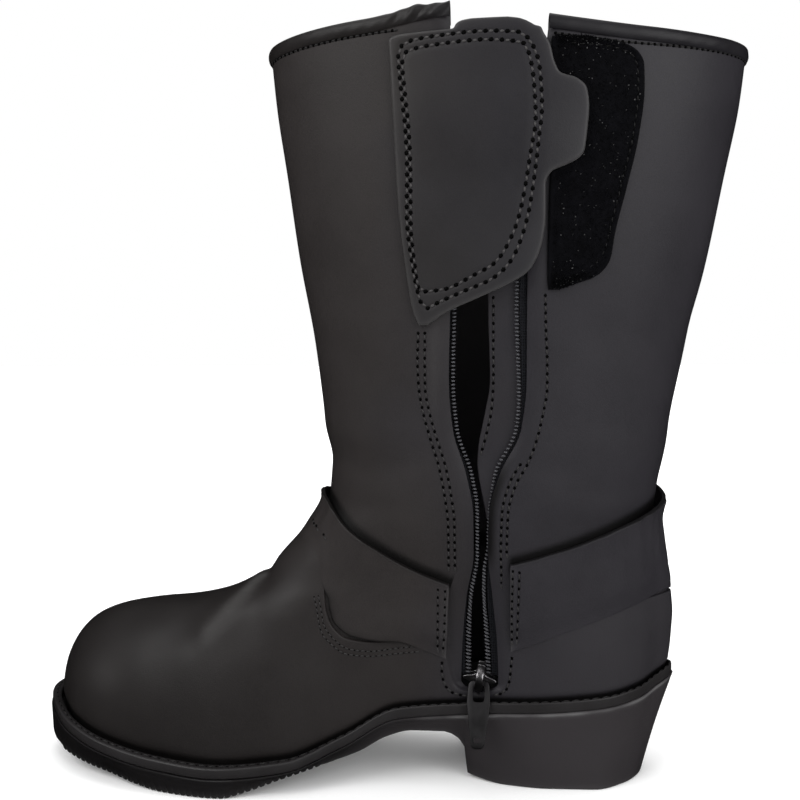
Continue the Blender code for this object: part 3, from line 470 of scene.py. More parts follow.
def leatherFinish(kind):
    tone = leatherTones[kind]
    skinFinish = Finish(kind + "Leather", **{"Specular IOR Level": tone["level"]})
    where = skinFinish.place()
    clouds = skinFinish.ramp(skinFinish.noise(where, 26.0, 5.0, 0.6), (0.32, 0.0), (0.68, 1.0))
    toward, height = skinFinish.part(where, 0), skinFinish.part(where, 2)
    drift = (skinFinish.noise(where, 9.0, 2.0) - 0.5) * 0.12
    cast = skinFinish.fade(toward + drift, -0.01, -0.06)
    fine = skinFinish.noise(where, 700.0, 4.0, 0.6)
    speckle = skinFinish.noise(where, 1900.0, 2.0)
    pores = skinFinish.cells(where, 1500.0)
    wearAndPaintedLight = skinFinish.mark("wearAndPaintedLight")
    # the black is a little warm in front and a little violet behind
    base = skinFinish.mix(cast, rgb(tone["shade"], 1.20, 0.97), rgb(tone["shade"], 1.10, 1.24))
    base = skinFinish.mix(0.18 - clouds * 0.18 + (speckle - 0.5) * 0.6, base, rgb(0.0))
    # painted light makes the flap lighter down at its foot; low on the boot painted shade darkens the toe and
    # painted light lightens the heel
    foot = skinFinish.fade(height, 0.30, 0.225, 0.0, tone.get("foot", 0.0))
    base = skinFinish.mix(foot, base, rgb(tone["shade"] * 2.0, 1.0, 1.08))
    low = skinFinish.fade(height, 0.125, 0.085)
    toe = skinFinish.fade(toward, 0.0, 0.09, 0.0, tone.get("toe", 0.0))
    base = skinFinish.mix(low * toe, base, rgb(0.0))
    heel = skinFinish.fade(toward, -0.05, -0.11, 0.0, tone.get("heel", 0.0))
    base = skinFinish.mix(low * heel, base, rgb(tone["shade"] * 1.6, 1.08, 1.1))
    # the mark is positive on raw edges, which are real wear, and on painted highlights, and negative where
    # painted shade lies down in seams and crevices
    base = skinFinish.mix(wearAndPaintedLight * (0.4 + fine * 0.6), base, rgb(tone["shade"] * 4.0, 1.02, 0.98))
    base = skinFinish.mix(wearAndPaintedLight * -1.0, base, rgb(0.0012, 1.3, 0.9))
    rough = tone["rough"] - 0.07 + clouds * 0.08 + fine * 0.07 - wearAndPaintedLight * 0.05
    grain = pores * 0.5 + fine * 0.6 + speckle * 0.3
    skinFinish.shade(
        Base_Color=base,
        Roughness=rough,
        Normal=skinFinish.bump(grain, tone["grain"], 0.0003),
    )
    return skinFinish.material


def rubberFinish():
    sole = Finish("soleRubber", **{"Specular IOR Level": 0.45})
    where = sole.place()
    patches = sole.noise(where, 35.0, 4.0)
    fine = sole.noise(where, 700.0, 3.0)
    lines = sole.noise(sole.place((60.0, 60.0, 900.0)), 1.0, 2.0)
    base = sole.mix(patches * 0.9, rgb(0.0120, 1.14, 1.06), rgb(0.0210, 1.14, 1.08))
    toward = sole.part(where, 0)
    # painted shade darkens the front of the sole and painted light lightens the heel
    base = sole.mix(sole.fade(toward, -0.02, 0.02, 0.0, 0.6), base, rgb(0.0))
    base = sole.mix(sole.fade(toward, -0.03, -0.07, 0.0, 0.4), base, rgb(0.034, 1.14, 1.1))
    # the mark lightens the rubbed lower edge, which is wear, and the painted highlight along the top of the
    # heel
    base = sole.mix(sole.mark("wearAndPaintedLight"), base, rgb(0.16))
    base = sole.mix(sole.mark("wearAndPaintedLight") * -1.0, base, rgb(0.0015))
    sole.shade(
        Base_Color=base,
        Roughness=0.32 + patches * 0.14 + fine * 0.05,
        Normal=sole.bump(fine * 0.6 + lines * 0.5, 0.14, 0.0006),
    )
    return sole.material


def weltFinish():
    welt = Finish("weltEdge", **{"Specular IOR Level": 0.5, "Coat Roughness": 0.22})
    where = welt.place()
    patches = welt.noise(where, 60.0, 3.0)
    fine = welt.noise(where, 600.0, 3.0)
    welt.shade(
        Base_Color=welt.mix(patches, rgb(0.0095, 1.12, 1.05), rgb(0.0160, 1.12, 1.05)),
        Roughness=0.34 + patches * 0.2,
        Coat_Weight=welt.mark("wearAndPaintedLight") * 0.5,
        Normal=welt.bump(fine + patches * 0.6, 0.16, 0.0006),
    )
    return welt.material


def liningFinish():
    lining = Finish("shaftLining", **{"Specular IOR Level": 0.3})
    where = lining.place()
    weave = lining.noise(where, 1300.0, 2.0)
    folds = lining.noise(lining.place((26.0, 26.0, 60.0)), 1.0, 3.0)
    lining.shade(
        Base_Color=lining.mix(weave, rgb(0.004), rgb(0.009, 1.0, 1.05)),
        Roughness=0.62 + weave * 0.12 - folds * 0.1,
        Normal=lining.bump(weave * 0.25 + folds, 0.35, 0.002),
    )
    return lining.material


def tapeFinish():
    tape = Finish("zipTape", **{"Specular IOR Level": 0.25})
    weave, cross = (
        tape.node("ShaderNodeTexWave", {"bands_direction": way}, {"Vector": tape.place(), "Scale": scale})
        for way, scale in (("Z", 260.0), ("X", 330.0))
    )
    thread = tape.node("ShaderNodeMath", {"operation": "MAXIMUM"}, {0: weave, 1: cross})
    tape.shade(
        Base_Color=tape.mix(thread, rgb(0.0012, 0.9, 1.5), rgb(0.0045, 0.9, 1.6)),
        Roughness=0.72 + thread * 0.1,
        Normal=tape.bump(thread, 0.4, 0.0004),
    )
    return tape.material


def threadFinish(name, dark, light, level=0.4):
    thread = Finish(name, **{"Specular IOR Level": level})
    twist = thread.noise(thread.place(), 1600.0, 2.0)
    thread.shade(
        Base_Color=thread.mix(twist, rgb(dark, 1.06), rgb(light, 1.06)),
        Roughness=0.40 + twist * 0.16,
        Normal=thread.bump(twist, 0.4, 0.0003),
    )
    return thread.material


def coilFinish():
    coil = Finish("zipCoil", **{"Specular IOR Level": 0.55})
    scuffs = coil.noise(coil.place(), 900.0, 2.0)
    coil.shade(
        Base_Color=coil.mix(scuffs, rgb(0.022, 1.0, 1.12), rgb(0.075, 1.0, 1.10)),
        Roughness=0.20 + scuffs * 0.12,
        Normal=coil.bump(scuffs, 0.2, 0.0002),
    )
    return coil.material


def metalFinish(name, dark, light, rough):
    metal = Finish(name, Metallic=1.0)
    cloud = metal.noise(metal.place(), 160.0, 3.0)
    scratch = metal.noise(metal.place((900.0, 900.0, 120.0)), 1.0, 2.0)
    metal.shade(
        Base_Color=metal.mix(cloud, rgb(dark, 1.03, 1.03), rgb(light, 1.03, 1.03)),
        Roughness=rough + cloud * 0.14 + scratch * 0.08,
        Normal=metal.bump(scratch + cloud * 0.5, 0.12, 0.0003),
    )
    return metal.material


def pileFinish():
    pile = Finish("loopPile", **{"Specular IOR Level": 0.05, "Sheen Weight": 0.012, "Sheen Roughness": 0.5})
    where = pile.place()
    fuzz = pile.noise(where, 900.0, 4.0, 0.7)
    clumps = pile.noise(where, 130.0, 3.0)
    pile.shade(
        Base_Color=pile.mix(clumps * fuzz * 1.6, rgb(0.0006, 1.0, 1.35), rgb(0.0034, 1.0, 1.45)),
        Roughness=0.80 + fuzz * 0.15,
        Normal=pile.bump(fuzz + clumps, 0.6, 0.0012),
    )
    return pile.material


def lintFinish():
    lint = Finish("lint", **{"Specular IOR Level": 0.2})
    speck = lint.noise(lint.place(), 500.0)
    lint.shade(Base_Color=lint.mix(speck, rgb(0.018), rgb(0.10)), Roughness=0.7 + speck * 0.2)
    return lint.material


finishes = {kind: leatherFinish(kind) for kind in leatherTones}
finishes["rubber"] = rubberFinish()
finishes["welt"] = weltFinish()
finishes["lining"] = liningFinish()
finishes["tape"] = tapeFinish()
finishes["thread"] = threadFinish("sewingThread", 0.010, 0.034)
# the flap's thread is the sewing thread made lighter: painted light
finishes["litFlapThread"] = threadFinish("litFlapThread", 0.018, 0.064)
finishes["darkThread"] = threadFinish("darkThread", 0.006, 0.018)
finishes["patchThread"] = threadFinish("patchThread", 0.0012, 0.0045)
# near-black discs of painted shade stand in for the shade in the needle holes
finishes["needleHoleShade"] = threadFinish("needleHoleShade", 0.0004, 0.0012, 0.06)
finishes["coil"] = coilFinish()
finishes["metal"] = metalFinish("gunmetal", 0.22, 0.45, 0.22)
finishes["pullMetal"] = metalFinish("pullMetal", 0.035, 0.075, 0.34)
finishes["pile"] = pileFinish()
finishes["lint"] = lintFinish()
print("finishes ready:", len(finishes))


# helpers for meshes
def toFrame(points):
    return (np.asarray(points) - lastForm["origin"]) * 0.001


def readPoints(piece):
    flat = np.empty(len(piece.data.vertices) * 3)
    piece.data.vertices.foreach_get("co", flat)
    return flat.reshape(-1, 3)


def writePoints(piece, points):
    piece.data.vertices.foreach_set("co", toFrame(points).ravel())
    piece.data.update()


def markPoints(piece, values):
    layer = piece.data.attributes.new("wearAndPaintedLight", "FLOAT", "POINT")
    layer.data.foreach_set("value", np.asarray(values, float))


def startFresh():
    if bpy.context.object and bpy.context.object.mode != "OBJECT":
        bpy.ops.object.mode_set(mode="OBJECT")
    bpy.ops.object.select_all(action="DESELECT")


def pickOnly(*pieces):
    startFresh()
    for piece in pieces:
        piece.select_set(True)
    bpy.context.view_layer.objects.active = pieces[0]


def mendMesh(merge=False, fill=False):
    # the active piece's doubles are merged, its ends filled and its normals turned out
    bpy.ops.object.mode_set(mode="EDIT")
    bpy.ops.mesh.select_all(action="SELECT")
    if merge:
        bpy.ops.mesh.remove_doubles(threshold=0.000001)
    if fill:
        bpy.ops.mesh.fill_holes(sides=0)
    bpy.ops.mesh.select_all(action="SELECT")
    bpy.ops.mesh.normals_make_consistent(inside=False)
    bpy.ops.object.mode_set(mode="OBJECT")


def finishPiece(piece, materials, replaced=(), body="boot", angle=40):
    pickOnly(piece)
    bpy.ops.object.shade_smooth_by_angle(angle=math.radians(angle))
    piece.data.materials.clear()
    for material in materials:
        piece.data.materials.append(finishes[material])
    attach(piece, body)
    if replaced:
        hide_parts(*replaced)
    print(piece.name, "has", sum(len(face.vertices) - 2 for face in piece.data.polygons), "triangles")
    return piece


def gridOn(name, across, up):
    startFresh()
    columns, rows = len(across) - 1, len(up) - 1
    bpy.ops.mesh.primitive_grid_add(x_subdivisions=columns, y_subdivisions=rows, size=2)
    piece = bpy.context.object
    piece.name = piece.data.name = name
    spots = readPoints(piece)
    column = np.rint((spots[:, 0] + 1) / 2 * columns).astype(int)
    row = np.rint((spots[:, 1] + 1) / 2 * rows).astype(int)
    return piece, column, row


def sheetPiece(name, across, up, faces, wearAndPaintedLight=None):
    # a grid gets the outer face, Solidify the wall, and then the inner face is set in its place
    across, up = np.asarray(across, float), np.asarray(up, float)
    piece, column, row = gridOn(name, across, up)
    outer, inner = faces(column, row)
    writePoints(piece, outer)
    wall = piece.modifiers.new("wall", "SOLIDIFY")
    wall.thickness, wall.offset, wall.material_offset = 0.001, -1.0, 1
    bpy.ops.object.modifier_apply(modifier="wall")
    writePoints(piece, np.concatenate([outer, inner]))
    edge = np.zeros(len(outer)) if wearAndPaintedLight is None else wearAndPaintedLight(column, row)
    markPoints(piece, np.concatenate([edge, edge]))
    return piece


def tubePiece(name, around, up, points):
    # a grid rolled into a closed tube: its seam is merged and its ends are filled
    piece, column, row = gridOn(name, around, up)
    place, wearAndPaintedLight = points(column, row)
    writePoints(piece, place)
    markPoints(piece, wearAndPaintedLight)
    mendMesh(merge=True, fill=True)
    return piece


def edgeDrop(distance, radius):
    # how far a rounded edge falls back at a distance from it
    share = np.clip(1 - distance / radius, 0.0, 1.0)
    return radius * (1 - np.sqrt(1 - share * share))


def packed(start, end, count, close):
    # stations from start to end, with a few more close to both ends
    near = np.array([0.0, 0.15, 0.35, 0.6, 1.0, 1.5]) * close
    middle = np.linspace(start + 2.2 * close, end - 2.2 * close, count)
    return np.concatenate([start + near, middle, end - near[::-1]])


def polylineDistance(points, line):
    # distance from each point to a polyline, both in x and z
    best = np.full(len(points), 1e9)
    for start, end in zip(line[:-1], line[1:]):
        span = end - start
        share = np.clip(((points - start) @ span) / max(span @ span, 1e-9), 0.0, 1.0)
        best = np.minimum(best, np.linalg.norm(points - start - share[:, None] * span, axis=1))
    return best


def smoothLine(rows, spacing, closed=False):
    # a smooth line through the rows of x and z, with points at an even spacing
    rows = np.asarray(rows, float)
    if closed:
        rows = np.concatenate([rows[-3:], rows, rows[:3]])
    travel = travelled(rows)
    first, last = (travel[3], travel[-3]) if closed else (0.0, travel[-1])
    count = max(int(round((last - first) / spacing)), 2)
    at = np.linspace(first, last, count + 1)
    return np.stack([smoothCurve(travel, rows[:, k])(at) for k in (0, 1)], -1)


def panelRows(rows, count):
    # z, front and rear edge of a panel at even steps along its outline
    rows = np.asarray(rows, float)
    move = np.diff(rows, axis=0)
    travel = np.concatenate([[0.0], np.cumsum(np.hypot(move[:, 0], np.abs(move[:, 1:]).max(axis=1)))])
    at = np.linspace(0.0, travel[-1], count)
    return [smoothCurve(travel, rows[:, k])(at) for k in range(3)]


# the loose ankle strap, from the zip's rear edge round the heel and over the instep to its front edge
strapLook = {
    "thick": 2.3,
    "least": 0.05,
    "seam": 0.8,
    "overlap": 0.3,
    "edgeRadius": 0.9,
    # millimetres of a lap at both ends
    "endReach": (95.0, 130.0),
    # depth by which the free lower edge is pressed in, and the share of the width it takes
    "pressed": (2.1, 0.45),
    "seamRounding": 0.35,
    "ripples": ((0.18, 41.0, 2.0, 0.0), (0.12, 67.0, -3.0, 0.0)),
    # strength and width of the marks: lighter raw edges at its ends, painted shade at its upper edge and
    # painted shade along the seam below
    "marks": ((0.4, 0.7), (0.8, 0.5), (0.95, 0.8)),
    # lap of each end, lap at which its lean is gone, z and x of its upper and of its lower corner
    "ends": ((0.07, 0.26, 105.0, 73.7, 64.0, 72.9), (2.94, 2.69, 95.5, 100.6, 59.5, 102.2)),
    # lap, low, high, low lift, high lift, low thickness, tuck
    "rows": (
        (0.07, 64.0, 105.0, 1.9, 1.9, 2.3, 0.0),
        (0.26, 74.5, 111.5, 1.6, 2.2, 2.3, 0.0),
        (0.54, 83.5, 121.0, 1.5, 2.5, 2.3, 0.0),
        (0.8, 87.5, 128.0, 1.5, 2.9, 2.3, 0.0),
        (1.0, 86.5, 132.0, 1.5, 3.2, 2.3, 0.0),
        (1.12, 85.5, 136.0, 1.5, 3.8, 2.3, 0.0),
        (1.25, 81.0, 125.0, 1.8, 3.2, 2.3, 0.0),
        (1.4, 65.0, 104.5, 2.3, 2.4, 2.3, 0.0),
        (1.47, 65.0, 103.0, 2.2, 2.4, 2.0, 1.0),
        (1.54, 68.0, 107.0, 0.6, 2.6, 1.0, 1.0),
        (1.65, 84.0, 117.0, 0.6, 2.8, 1.0, 1.0),
        (1.88, 110.0, 130.5, 0.6, 2.4, 1.0, 1.0),
        (2.0, 112.0, 133.0, 0.6, 2.4, 1.0, 1.0),
        (2.15, 112.0, 131.0, 0.6, 2.6, 1.0, 1.0),
        (2.34, 107.0, 124.5, 0.6, 2.8, 1.0, 1.0),
        (2.54, 92.0, 116.0, 0.6, 2.4, 1.0, 1.0),
        (2.69, 81.0, 109.0, 0.6, 2.2, 1.0, 1.0),
        (2.78, 71.0, 104.2, 0.7, 2.0, 1.2, 1.0),
        (2.84, 67.0, 100.8, 1.9, 1.9, 1.8, 1.0),
        (2.9, 63.5, 97.8, 1.9, 1.9, 2.2, 0.0),
        (2.94, 59.5, 95.5, 1.9, 1.9, 2.3, 0.0),
    ),
}
strapLow, strapHigh, strapLowLift, strapHighLift, strapLowThick, strapTuck = (
    columnOf(strapLook["rows"], 0, k) for k in range(1, 7)
)
strapLaps = (strapLook["rows"][0][0], strapLook["rows"][-1][0])


# the upper: vamp and counter layer below, shaft above, open along the zip
upperLook = {
    "vampShares": np.concatenate([
        np.linspace(0, 0.9, 42), [0.92, 0.94, 0.958, 0.972, 0.982, 0.99, 0.996, 1.0]
    ]),
    "shaftShares": np.concatenate([[0.0, 0.004, 0.01], np.linspace(0.02, 1, 92)]),
    "levelHeight": 9.0,  # of one level at the vamp's edge
    "edgeRadius": 1.0,
    "frontRoll": (8.0, 1.9),  # width, depth
    "rearRoll": (6.0, 1.5),
    "rollFoot": (41.0, 44.0),  # z
    "rollPower": 2.2,
    # the vamp's edge is skived away between the ends of the strap
    "skived": (64.0, 72.0, 104.0, 112.0),  # x
    "skivedFade": (72.0, 104.0),  # z
    # z, x of the edge of the outer layer round the zip's foot
    "placket": (
        (42.0, 84.0), (44.3, 88.0), (45.1, 93.9), (47.0, 97.3), (51.8, 99.3), (58.7, 100.7),
        (65.7, 101.4), (80.0, 101.6),
    ),
    "placketLip": 1.1,
    "placketFade": (84.0, 100.0),  # z
    # the leather is drawn in at the welt: depth, and heights over the welt
    "drawnIn": (1.5, -1.0, 5.0),
    "creaseFade": (4.0, 16.0),  # heights over the bed
    "creaseSpread": 7.0,  # distance at which a crease is widest
    # painted shade at the welt and in the fold by the zip's rear edge, and a painted shadow behind the
    # strap's upper edge
    "weltShade": {"start": 0.5, "width": 2.2, "strength": 0.9},
    "strapShadow": {"full": 1.4, "width": 2.8, "fade": (-9.0, -2.0), "ends": 0.01, "strength": 0.92},
    "foldShade": {"full": 1.3, "width": 3.2, "span": (98.0, 112.0, 140.0, 156.0), "strength": 0.85},
    # painted highlights beside the zip's front edge, along the vamp's ridge and on the side of the toe
    "zipHighlight": {"place": 6.5, "width": 3.0, "span": (160.0, 185.0, 222.0, 240.0), "strength": 0.16},
    "ridgeHighlight": {
        "top": 91.5, "fall": 24.0, "width": (1.2, 3.0), "loss": 0.85, "laps": (1.93, 2.07), "strength": 0.9
    },
    "toeHighlight": {"place": (263.0, 47.0), "radii": (10.0, 7.0), "strength": 0.2},
    "ridge": ((188.5, 91.5), (191.5, 88.4), (198.4, 81.9), (205.5, 75.4), (212.0, 68.0)),
    # width, how much wider on its lower side, height and line of each soft crease
    "creases": (
        (2.0, 3.0, 0.5, ((190.5, 89.6), (191.5, 88.4), (196.4, 83.6))),
        (3.2, 3.0, 1.2, ((192.0, 88.0), (198.4, 81.9), (203.5, 77.8))),
        (5.0, 1.6, 0.9, ((200.0, 80.6), (205.9, 76.0), (213.4, 69.3))),
        (8.0, 1.0, 0.5, ((210.0, 72.0), (216.0, 66.5), (222.0, 60.0))),
        (3.6, 1.0, -2.4, ((189.5, 96.5), (192.5, 94.0))),
        (7.0, 1.0, -0.5, ((205.0, 86.0), (214.0, 77.5), (224.0, 69.0))),
        (7.0, 1.0, -0.2, ((230.0, 72.0), (236.0, 62.0), (238.0, 52.0))),
        (7.0, 1.0, -0.7, ((153.0, 150.0), (140.0, 146.0), (126.0, 148.0), (116.0, 154.0))),
        (7.0, 1.0, 0.5, ((156.0, 164.0), (142.0, 160.0), (128.0, 163.0))),
        (8.0, 1.0, -0.6, ((8.0, 140.0), (22.0, 136.0), (40.0, 139.0), (52.0, 146.0))),
        (9.0, 1.0, 0.5, ((2.0, 158.0), (18.0, 155.0), (36.0, 159.0))),
        (12.0, 1.0, -0.6, ((-8.0, 214.0), (14.0, 205.0), (38.0, 206.0))),
    ),
}


def creaseLift(x, z):
    lift = np.zeros(len(x))
    spots = np.stack([x, z], -1)
    for width, lower, height, line in upperLook["creases"]:
        line = np.array(line)
        (firstX, firstZ), (runX, runZ) = line[0], line[-1] - line[0]
        below = (runZ * (x - firstX) - runX * (z - firstZ)) / math.hypot(runX, runZ)
        wider = smoothStep(below, 0.0, upperLook["creaseSpread"])
        spread = width * (1 + (lower - 1) * wider)
        lift += height * np.exp(-((polylineDistance(spots, line) / spread) ** 2))
    return lift


def makeUpper():
    look = upperLook
    ridgeLaps = lapAt(*np.array(look["ridge"]).T)
    laps = np.unique(np.concatenate([
        [0, 0.004, 0.009, 0.015, 0.023, 0.033, 0.045, 0.06, 0.08],
        np.linspace(0.1, 1, 44),
        np.linspace(1, 2, 84)[1:],
        np.linspace(2, 2.89, 90)[1:],
        np.linspace(2.89, 3.0, 42)[1:],
        # closer together where the vamp's ridge runs
        np.linspace(ridgeLaps.min() - 0.012, ridgeLaps.max() + 0.012, 34),
    ]))
    shares = np.concatenate([look["vampShares"], look["shaftShares"]])
    onVamp = np.arange(len(shares)) < len(look["vampShares"])
    edges = vampLevel(laps)
    flush = vampFlush(laps)
    placket = columnOf(look["placket"], 0, 1)

    def stations(column, row):
        lap, share, low, edge = laps[column], shares[row], onVamp[row], edges[column]
        return lap, share, low, edge, np.where(low, edge * share, edge + (topLevel - edge) * share)

    def faces(column, row):
        lap, share, low, edge, level = stations(column, row)
        turn = lapTurn(lap, level)
        point, normal, _ = skinFrame(turn, level)
        x, z = point[:, 0], point[:, 2]
        inner = np.mod(turn, math.tau) < math.pi
        soft = between(x, *look["skived"]) * inner
        plain = np.maximum(soft, flush[column])
        drop = edgeDrop((1 - share) * edge * look["levelHeight"], look["edgeRadius"])
        step = lastForm["vampStep"] - drop * (1 - plain)
        above = soft * lastForm["vampStep"] * (1 - smoothStep(z, *look["skivedFade"]))
        offset = np.where(low, step, above)
        lip = np.clip(1 - (x - placket(z)) / look["placketLip"], 0.0, 1.0)
        lip = lip * lip * (1 - smoothStep(z, *look["placketFade"]))
        offset = offset * np.where(lap > 2, 1 - lip, 1.0)
        offset = offset + creaseLift(x, z) * smoothStep(z - bed(x), *look["creaseFade"])
        depth, start, end = look["drawnIn"]
        offset = offset - depth * (1 - smoothStep(z - soleTop(x), start, end)) ** 2
        for lapSide, edgeAt, (width, depth) in (
            (lap < 1, zipRear, look["rearRoll"]), (lap > 2, zipFront, look["frontRoll"])
        ):
            near = np.clip(1 - np.abs(x - edgeAt(z)) / width, 0.0, 1.0)
            near = near * smoothStep(z, *look["rollFoot"])
            offset = offset - lapSide * depth * near ** look["rollPower"]
        outer = point + normal * offset[:, None]
        inside = point - normal * lastForm["wall"]
        foot = row == 0
        outer[foot, 2] = inside[foot, 2] = bed(x[foot])
        return outer, inside

    # painted shade comes out below zero and painted highlights above it
    def wearAndPaintedLight(column, row):
        lap, _, _, _, level = stations(column, row)
        x, z = sideView(lapTurn(lap, level), level)
        onInner = lap > 2
        mark = look["weltShade"]
        nearWelt = 1 - (z - soleTop(x) - mark["start"]) / mark["width"]
        dark = mark["strength"] * np.clip(nearWelt, 0.0, 1.0)
        mark = look["strapShadow"]
        over = z - strapHigh(np.clip(lap, *strapLaps))
        behind = np.clip(mark["full"] - over / mark["width"], 0.0, 1.0) * smoothStep(over, *mark["fade"])
        behind = behind * (lap > strapLaps[0] - mark["ends"]) * (lap < strapLaps[1] + mark["ends"])
        dark = np.maximum(dark, mark["strength"] * behind)
        mark = look["foldShade"]
        fold = np.clip(mark["full"] - np.abs(x - zipRear(z)) / mark["width"], 0.0, 1.0) * (lap < 1)
        dark = np.maximum(dark, mark["strength"] * fold * between(z, *mark["span"]))
        mark = look["zipHighlight"]
        crest = np.exp(-((x - zipFront(z) - mark["place"]) / mark["width"]) ** 2) * onInner
        rubbedAndPaintedHighlight = mark["strength"] * crest * between(z, *mark["span"])
        mark = look["ridgeHighlight"]
        down = np.clip((mark["top"] - z) / mark["fall"], 0.0, 1.0)
        away = polylineDistance(np.stack([x, z], -1), np.array(look["ridge"]))
        away = away / (mark["width"][0] + mark["width"][1] * down)
        crease = np.exp(-away ** 2) * (1.0 - mark["loss"] * down) * smoothStep(lap, *mark["laps"])
        rubbedAndPaintedHighlight = np.maximum(rubbedAndPaintedHighlight, mark["strength"] * crease)
        mark = look["toeHighlight"]
        (toeX, toeZ), (long, tall) = mark["place"], mark["radii"]
        toe = np.exp(-((x - toeX) / long) ** 2 - ((z - toeZ) / tall) ** 2) * onInner
        return np.maximum(rubbedAndPaintedHighlight, mark["strength"] * toe) - dark

    piece = sheetPiece("upperLook", laps, shares, faces, wearAndPaintedLight)
    mendMesh(merge=True)
    return finishPiece(piece, ("shaft", "lining"), ("upper",), angle=50)


makeUpper()


def strapSpan(lap):
    vamp = vampLevel(lap)
    seam = sideView(lapTurn(lap, vamp), vamp)[1]
    tuck = strapTuck(lap)
    gap = strapLook["seam"] - (strapLook["seam"] + strapLook["overlap"]) * vampFlush(lap)
    return strapLow(lap) * (1 - tuck) + (seam + gap) * tuck, strapHigh(lap)


def strapLap(lap, z):
    # the laps lean near both ends, so that the ends run straight
    place = lap
    for end, fade, topZ, topX, lowZ, lowX in strapLook["ends"]:
        near = smoothStep((lap - fade) / (end - fade), 0.0, 1.0)
        line = lowX + (topX - lowX) * (z - lowZ) / (topZ - lowZ)
        place = place + np.where(near > 0, (lapAt(line, z) - end) * near, 0.0)
    return place


def strapFaces(lap, share):
    # lift of the inner face and of the outer face over the skin
    lift = strapLowLift(lap) + (strapHighLift(lap) - strapLowLift(lap)) * share ** 2
    return lift, lift + strapLowThick(lap) + (strapLook["thick"] - strapLowThick(lap)) * share


def makeStrap():
    look = strapLook
    first, last = strapLaps
    laps = packed(first, last, 230, 0.006)
    shares = packed(0.0, 1.0, 16, 0.022)
    low, high = strapSpan(laps)
    flush = vampFlush(laps) * strapTuck(laps)
    reach = np.minimum((laps - first) * look["endReach"][0], (last - laps) * look["endReach"][1])

    def distances(column, row):
        wide = (high - low)[column]
        return wide * shares[row], wide * (1 - shares[row]), reach[column]

    def faces(column, row):
        lap, share = laps[column], shares[row]
        z = low[column] + (high - low)[column] * share
        place = strapLap(lap, z)
        level = levelAt(place, z)
        inside, outside = strapFaces(lap, share)
        step = lastForm["vampStep"] + look["least"] - strapFaces(lap, 0.0)[1]
        outside = outside + step * flush[column] * (1 - share) ** 3
        depth, part = look["pressed"]
        outside = outside - depth * (1 - strapTuck(lap)) * (1 - smoothStep(share, 0.0, part)) ** 2
        below, above, end = distances(column, row)
        free = (1 - strapTuck(lap)) + look["seamRounding"] * (1 - flush[column])
        drop = np.maximum(edgeDrop(above, look["edgeRadius"]), edgeDrop(end, look["edgeRadius"]))
        drop = np.maximum(drop, edgeDrop(below, look["edgeRadius"]) * np.clip(free, 0.0, 1.0))
        ripple = waves(look["ripples"], lap, share)
        outside = np.maximum(outside - drop + ripple * share, inside + look["least"])
        turn = lapTurn(place, level)
        return skin(turn, level, outside), skin(turn, level, inside)

    def wearAndPaintedLight(column, row):
        below, above, end = distances(column, row)
        atEnd, atTop, atSeam = (
            strength * np.exp(-distance / width)
            for distance, (strength, width) in zip((end, above, below), look["marks"])
        )
        # the ends are lighter raw edges; painted shade darkens the upper edge and, where the strap is tucked,
        # the seam below
        return atEnd - atTop - strapTuck(laps[column]) * (1 - flush[column]) * atSeam

    piece = sheetPiece("ankleStrapLook", laps, shares, faces, wearAndPaintedLight)
    return finishPiece(piece, ("strap", "strap"), ("ankle_strap",), angle=60)


makeStrap()


# the rolled binding of the collar, gathered at its front end
bindingLook = {
    # distance out from the leather, distance below the collar's edge
    "profile": (
        (0.3, 4.7), (0.7, 4.5), (1.05, 4.0), (1.3, 3.2), (1.4, 2.3), (1.35, 1.3), (1.2, 0.3),
        (0.85, -0.6), (0.3, -1.3), (-0.6, -1.8), (-1.8, -1.8), (-2.8, -1.2), (-3.5, -0.2), (-4.0, 1.4),
        (-4.0, 4.2), (-3.9, 7.0), (-3.2, 7.5), (-2.5, 7.3), (-2.45, 4.0), (-2.45, 0.5), (-1.8, -0.25),
        (-0.4, -0.25), (0.25, 0.4), (0.25, 3.0), (0.3, 4.7),
    ),
    "gather": (2.76, 2.90),
    "outside": (0.4, 1.2),
    "folds": ((0.5, 0.55, 0.7, 0.0), (0.28, 1.15, 1.2, 0.0), (0.3, 0.27, -0.4, 0.0)),
    "softFolds": ((0.10, 0.35, 0.0, 0.0), (0.06, 0.83, 1.0, 0.0)),
    "crestFolds": ((0.5, 0.31, 0.0, 1.0), (0.25, 0.8, 0.0, 0.0)),
    "crest": 0.3,
    "crestSpan": (-3.0, 1.0),
    # how far both ends rise, and between which laps
    "frontRise": (3.4, 2.72, 3.0),
    "rearRise": (1.5, 0.1, 0.6),
}


def makeBinding():
    look = bindingLook
    profile = np.array(look["profile"])
    laps = np.concatenate([np.linspace(0, 2.6, 190), np.linspace(2.6, 3.0, 90)[1:]])
    level = np.full(len(laps), float(topLevel))
    edge, normal, up = skinFrame(lapTurn(laps, level), level)
    travel = travelled(edge)
    frontRise, *frontSpan = look["frontRise"]
    rearRise, *rearSpan = look["rearRise"]

    def points(column, row):
        out, below = profile[column].T
        lap, at = laps[row], travel[row]
        gather = smoothStep(lap, *look["gather"])
        fold = gather * waves(look["folds"], at, below) + waves(look["softFolds"], at, below)
        crest = gather * (look["crest"] + waves(look["crestFolds"], at, below))
        crest = crest * smoothStep(-below, *look["crestSpan"])
        crest = crest + frontRise * smoothStep(lap, *frontSpan) + rearRise * (1 - smoothStep(lap, *rearSpan))
        out = out + smoothStep(out, *look["outside"]) * fold
        place = edge[row] + normal[row] * out[:, None] - up[row] * (below - crest)[:, None]
        return place, np.zeros(len(out))

    piece = tubePiece("collarBindingLook", range(len(profile)), range(len(laps)), points)
    return finishPiece(piece, ("binding",), ("collar_binding",), angle=60)


makeBinding()


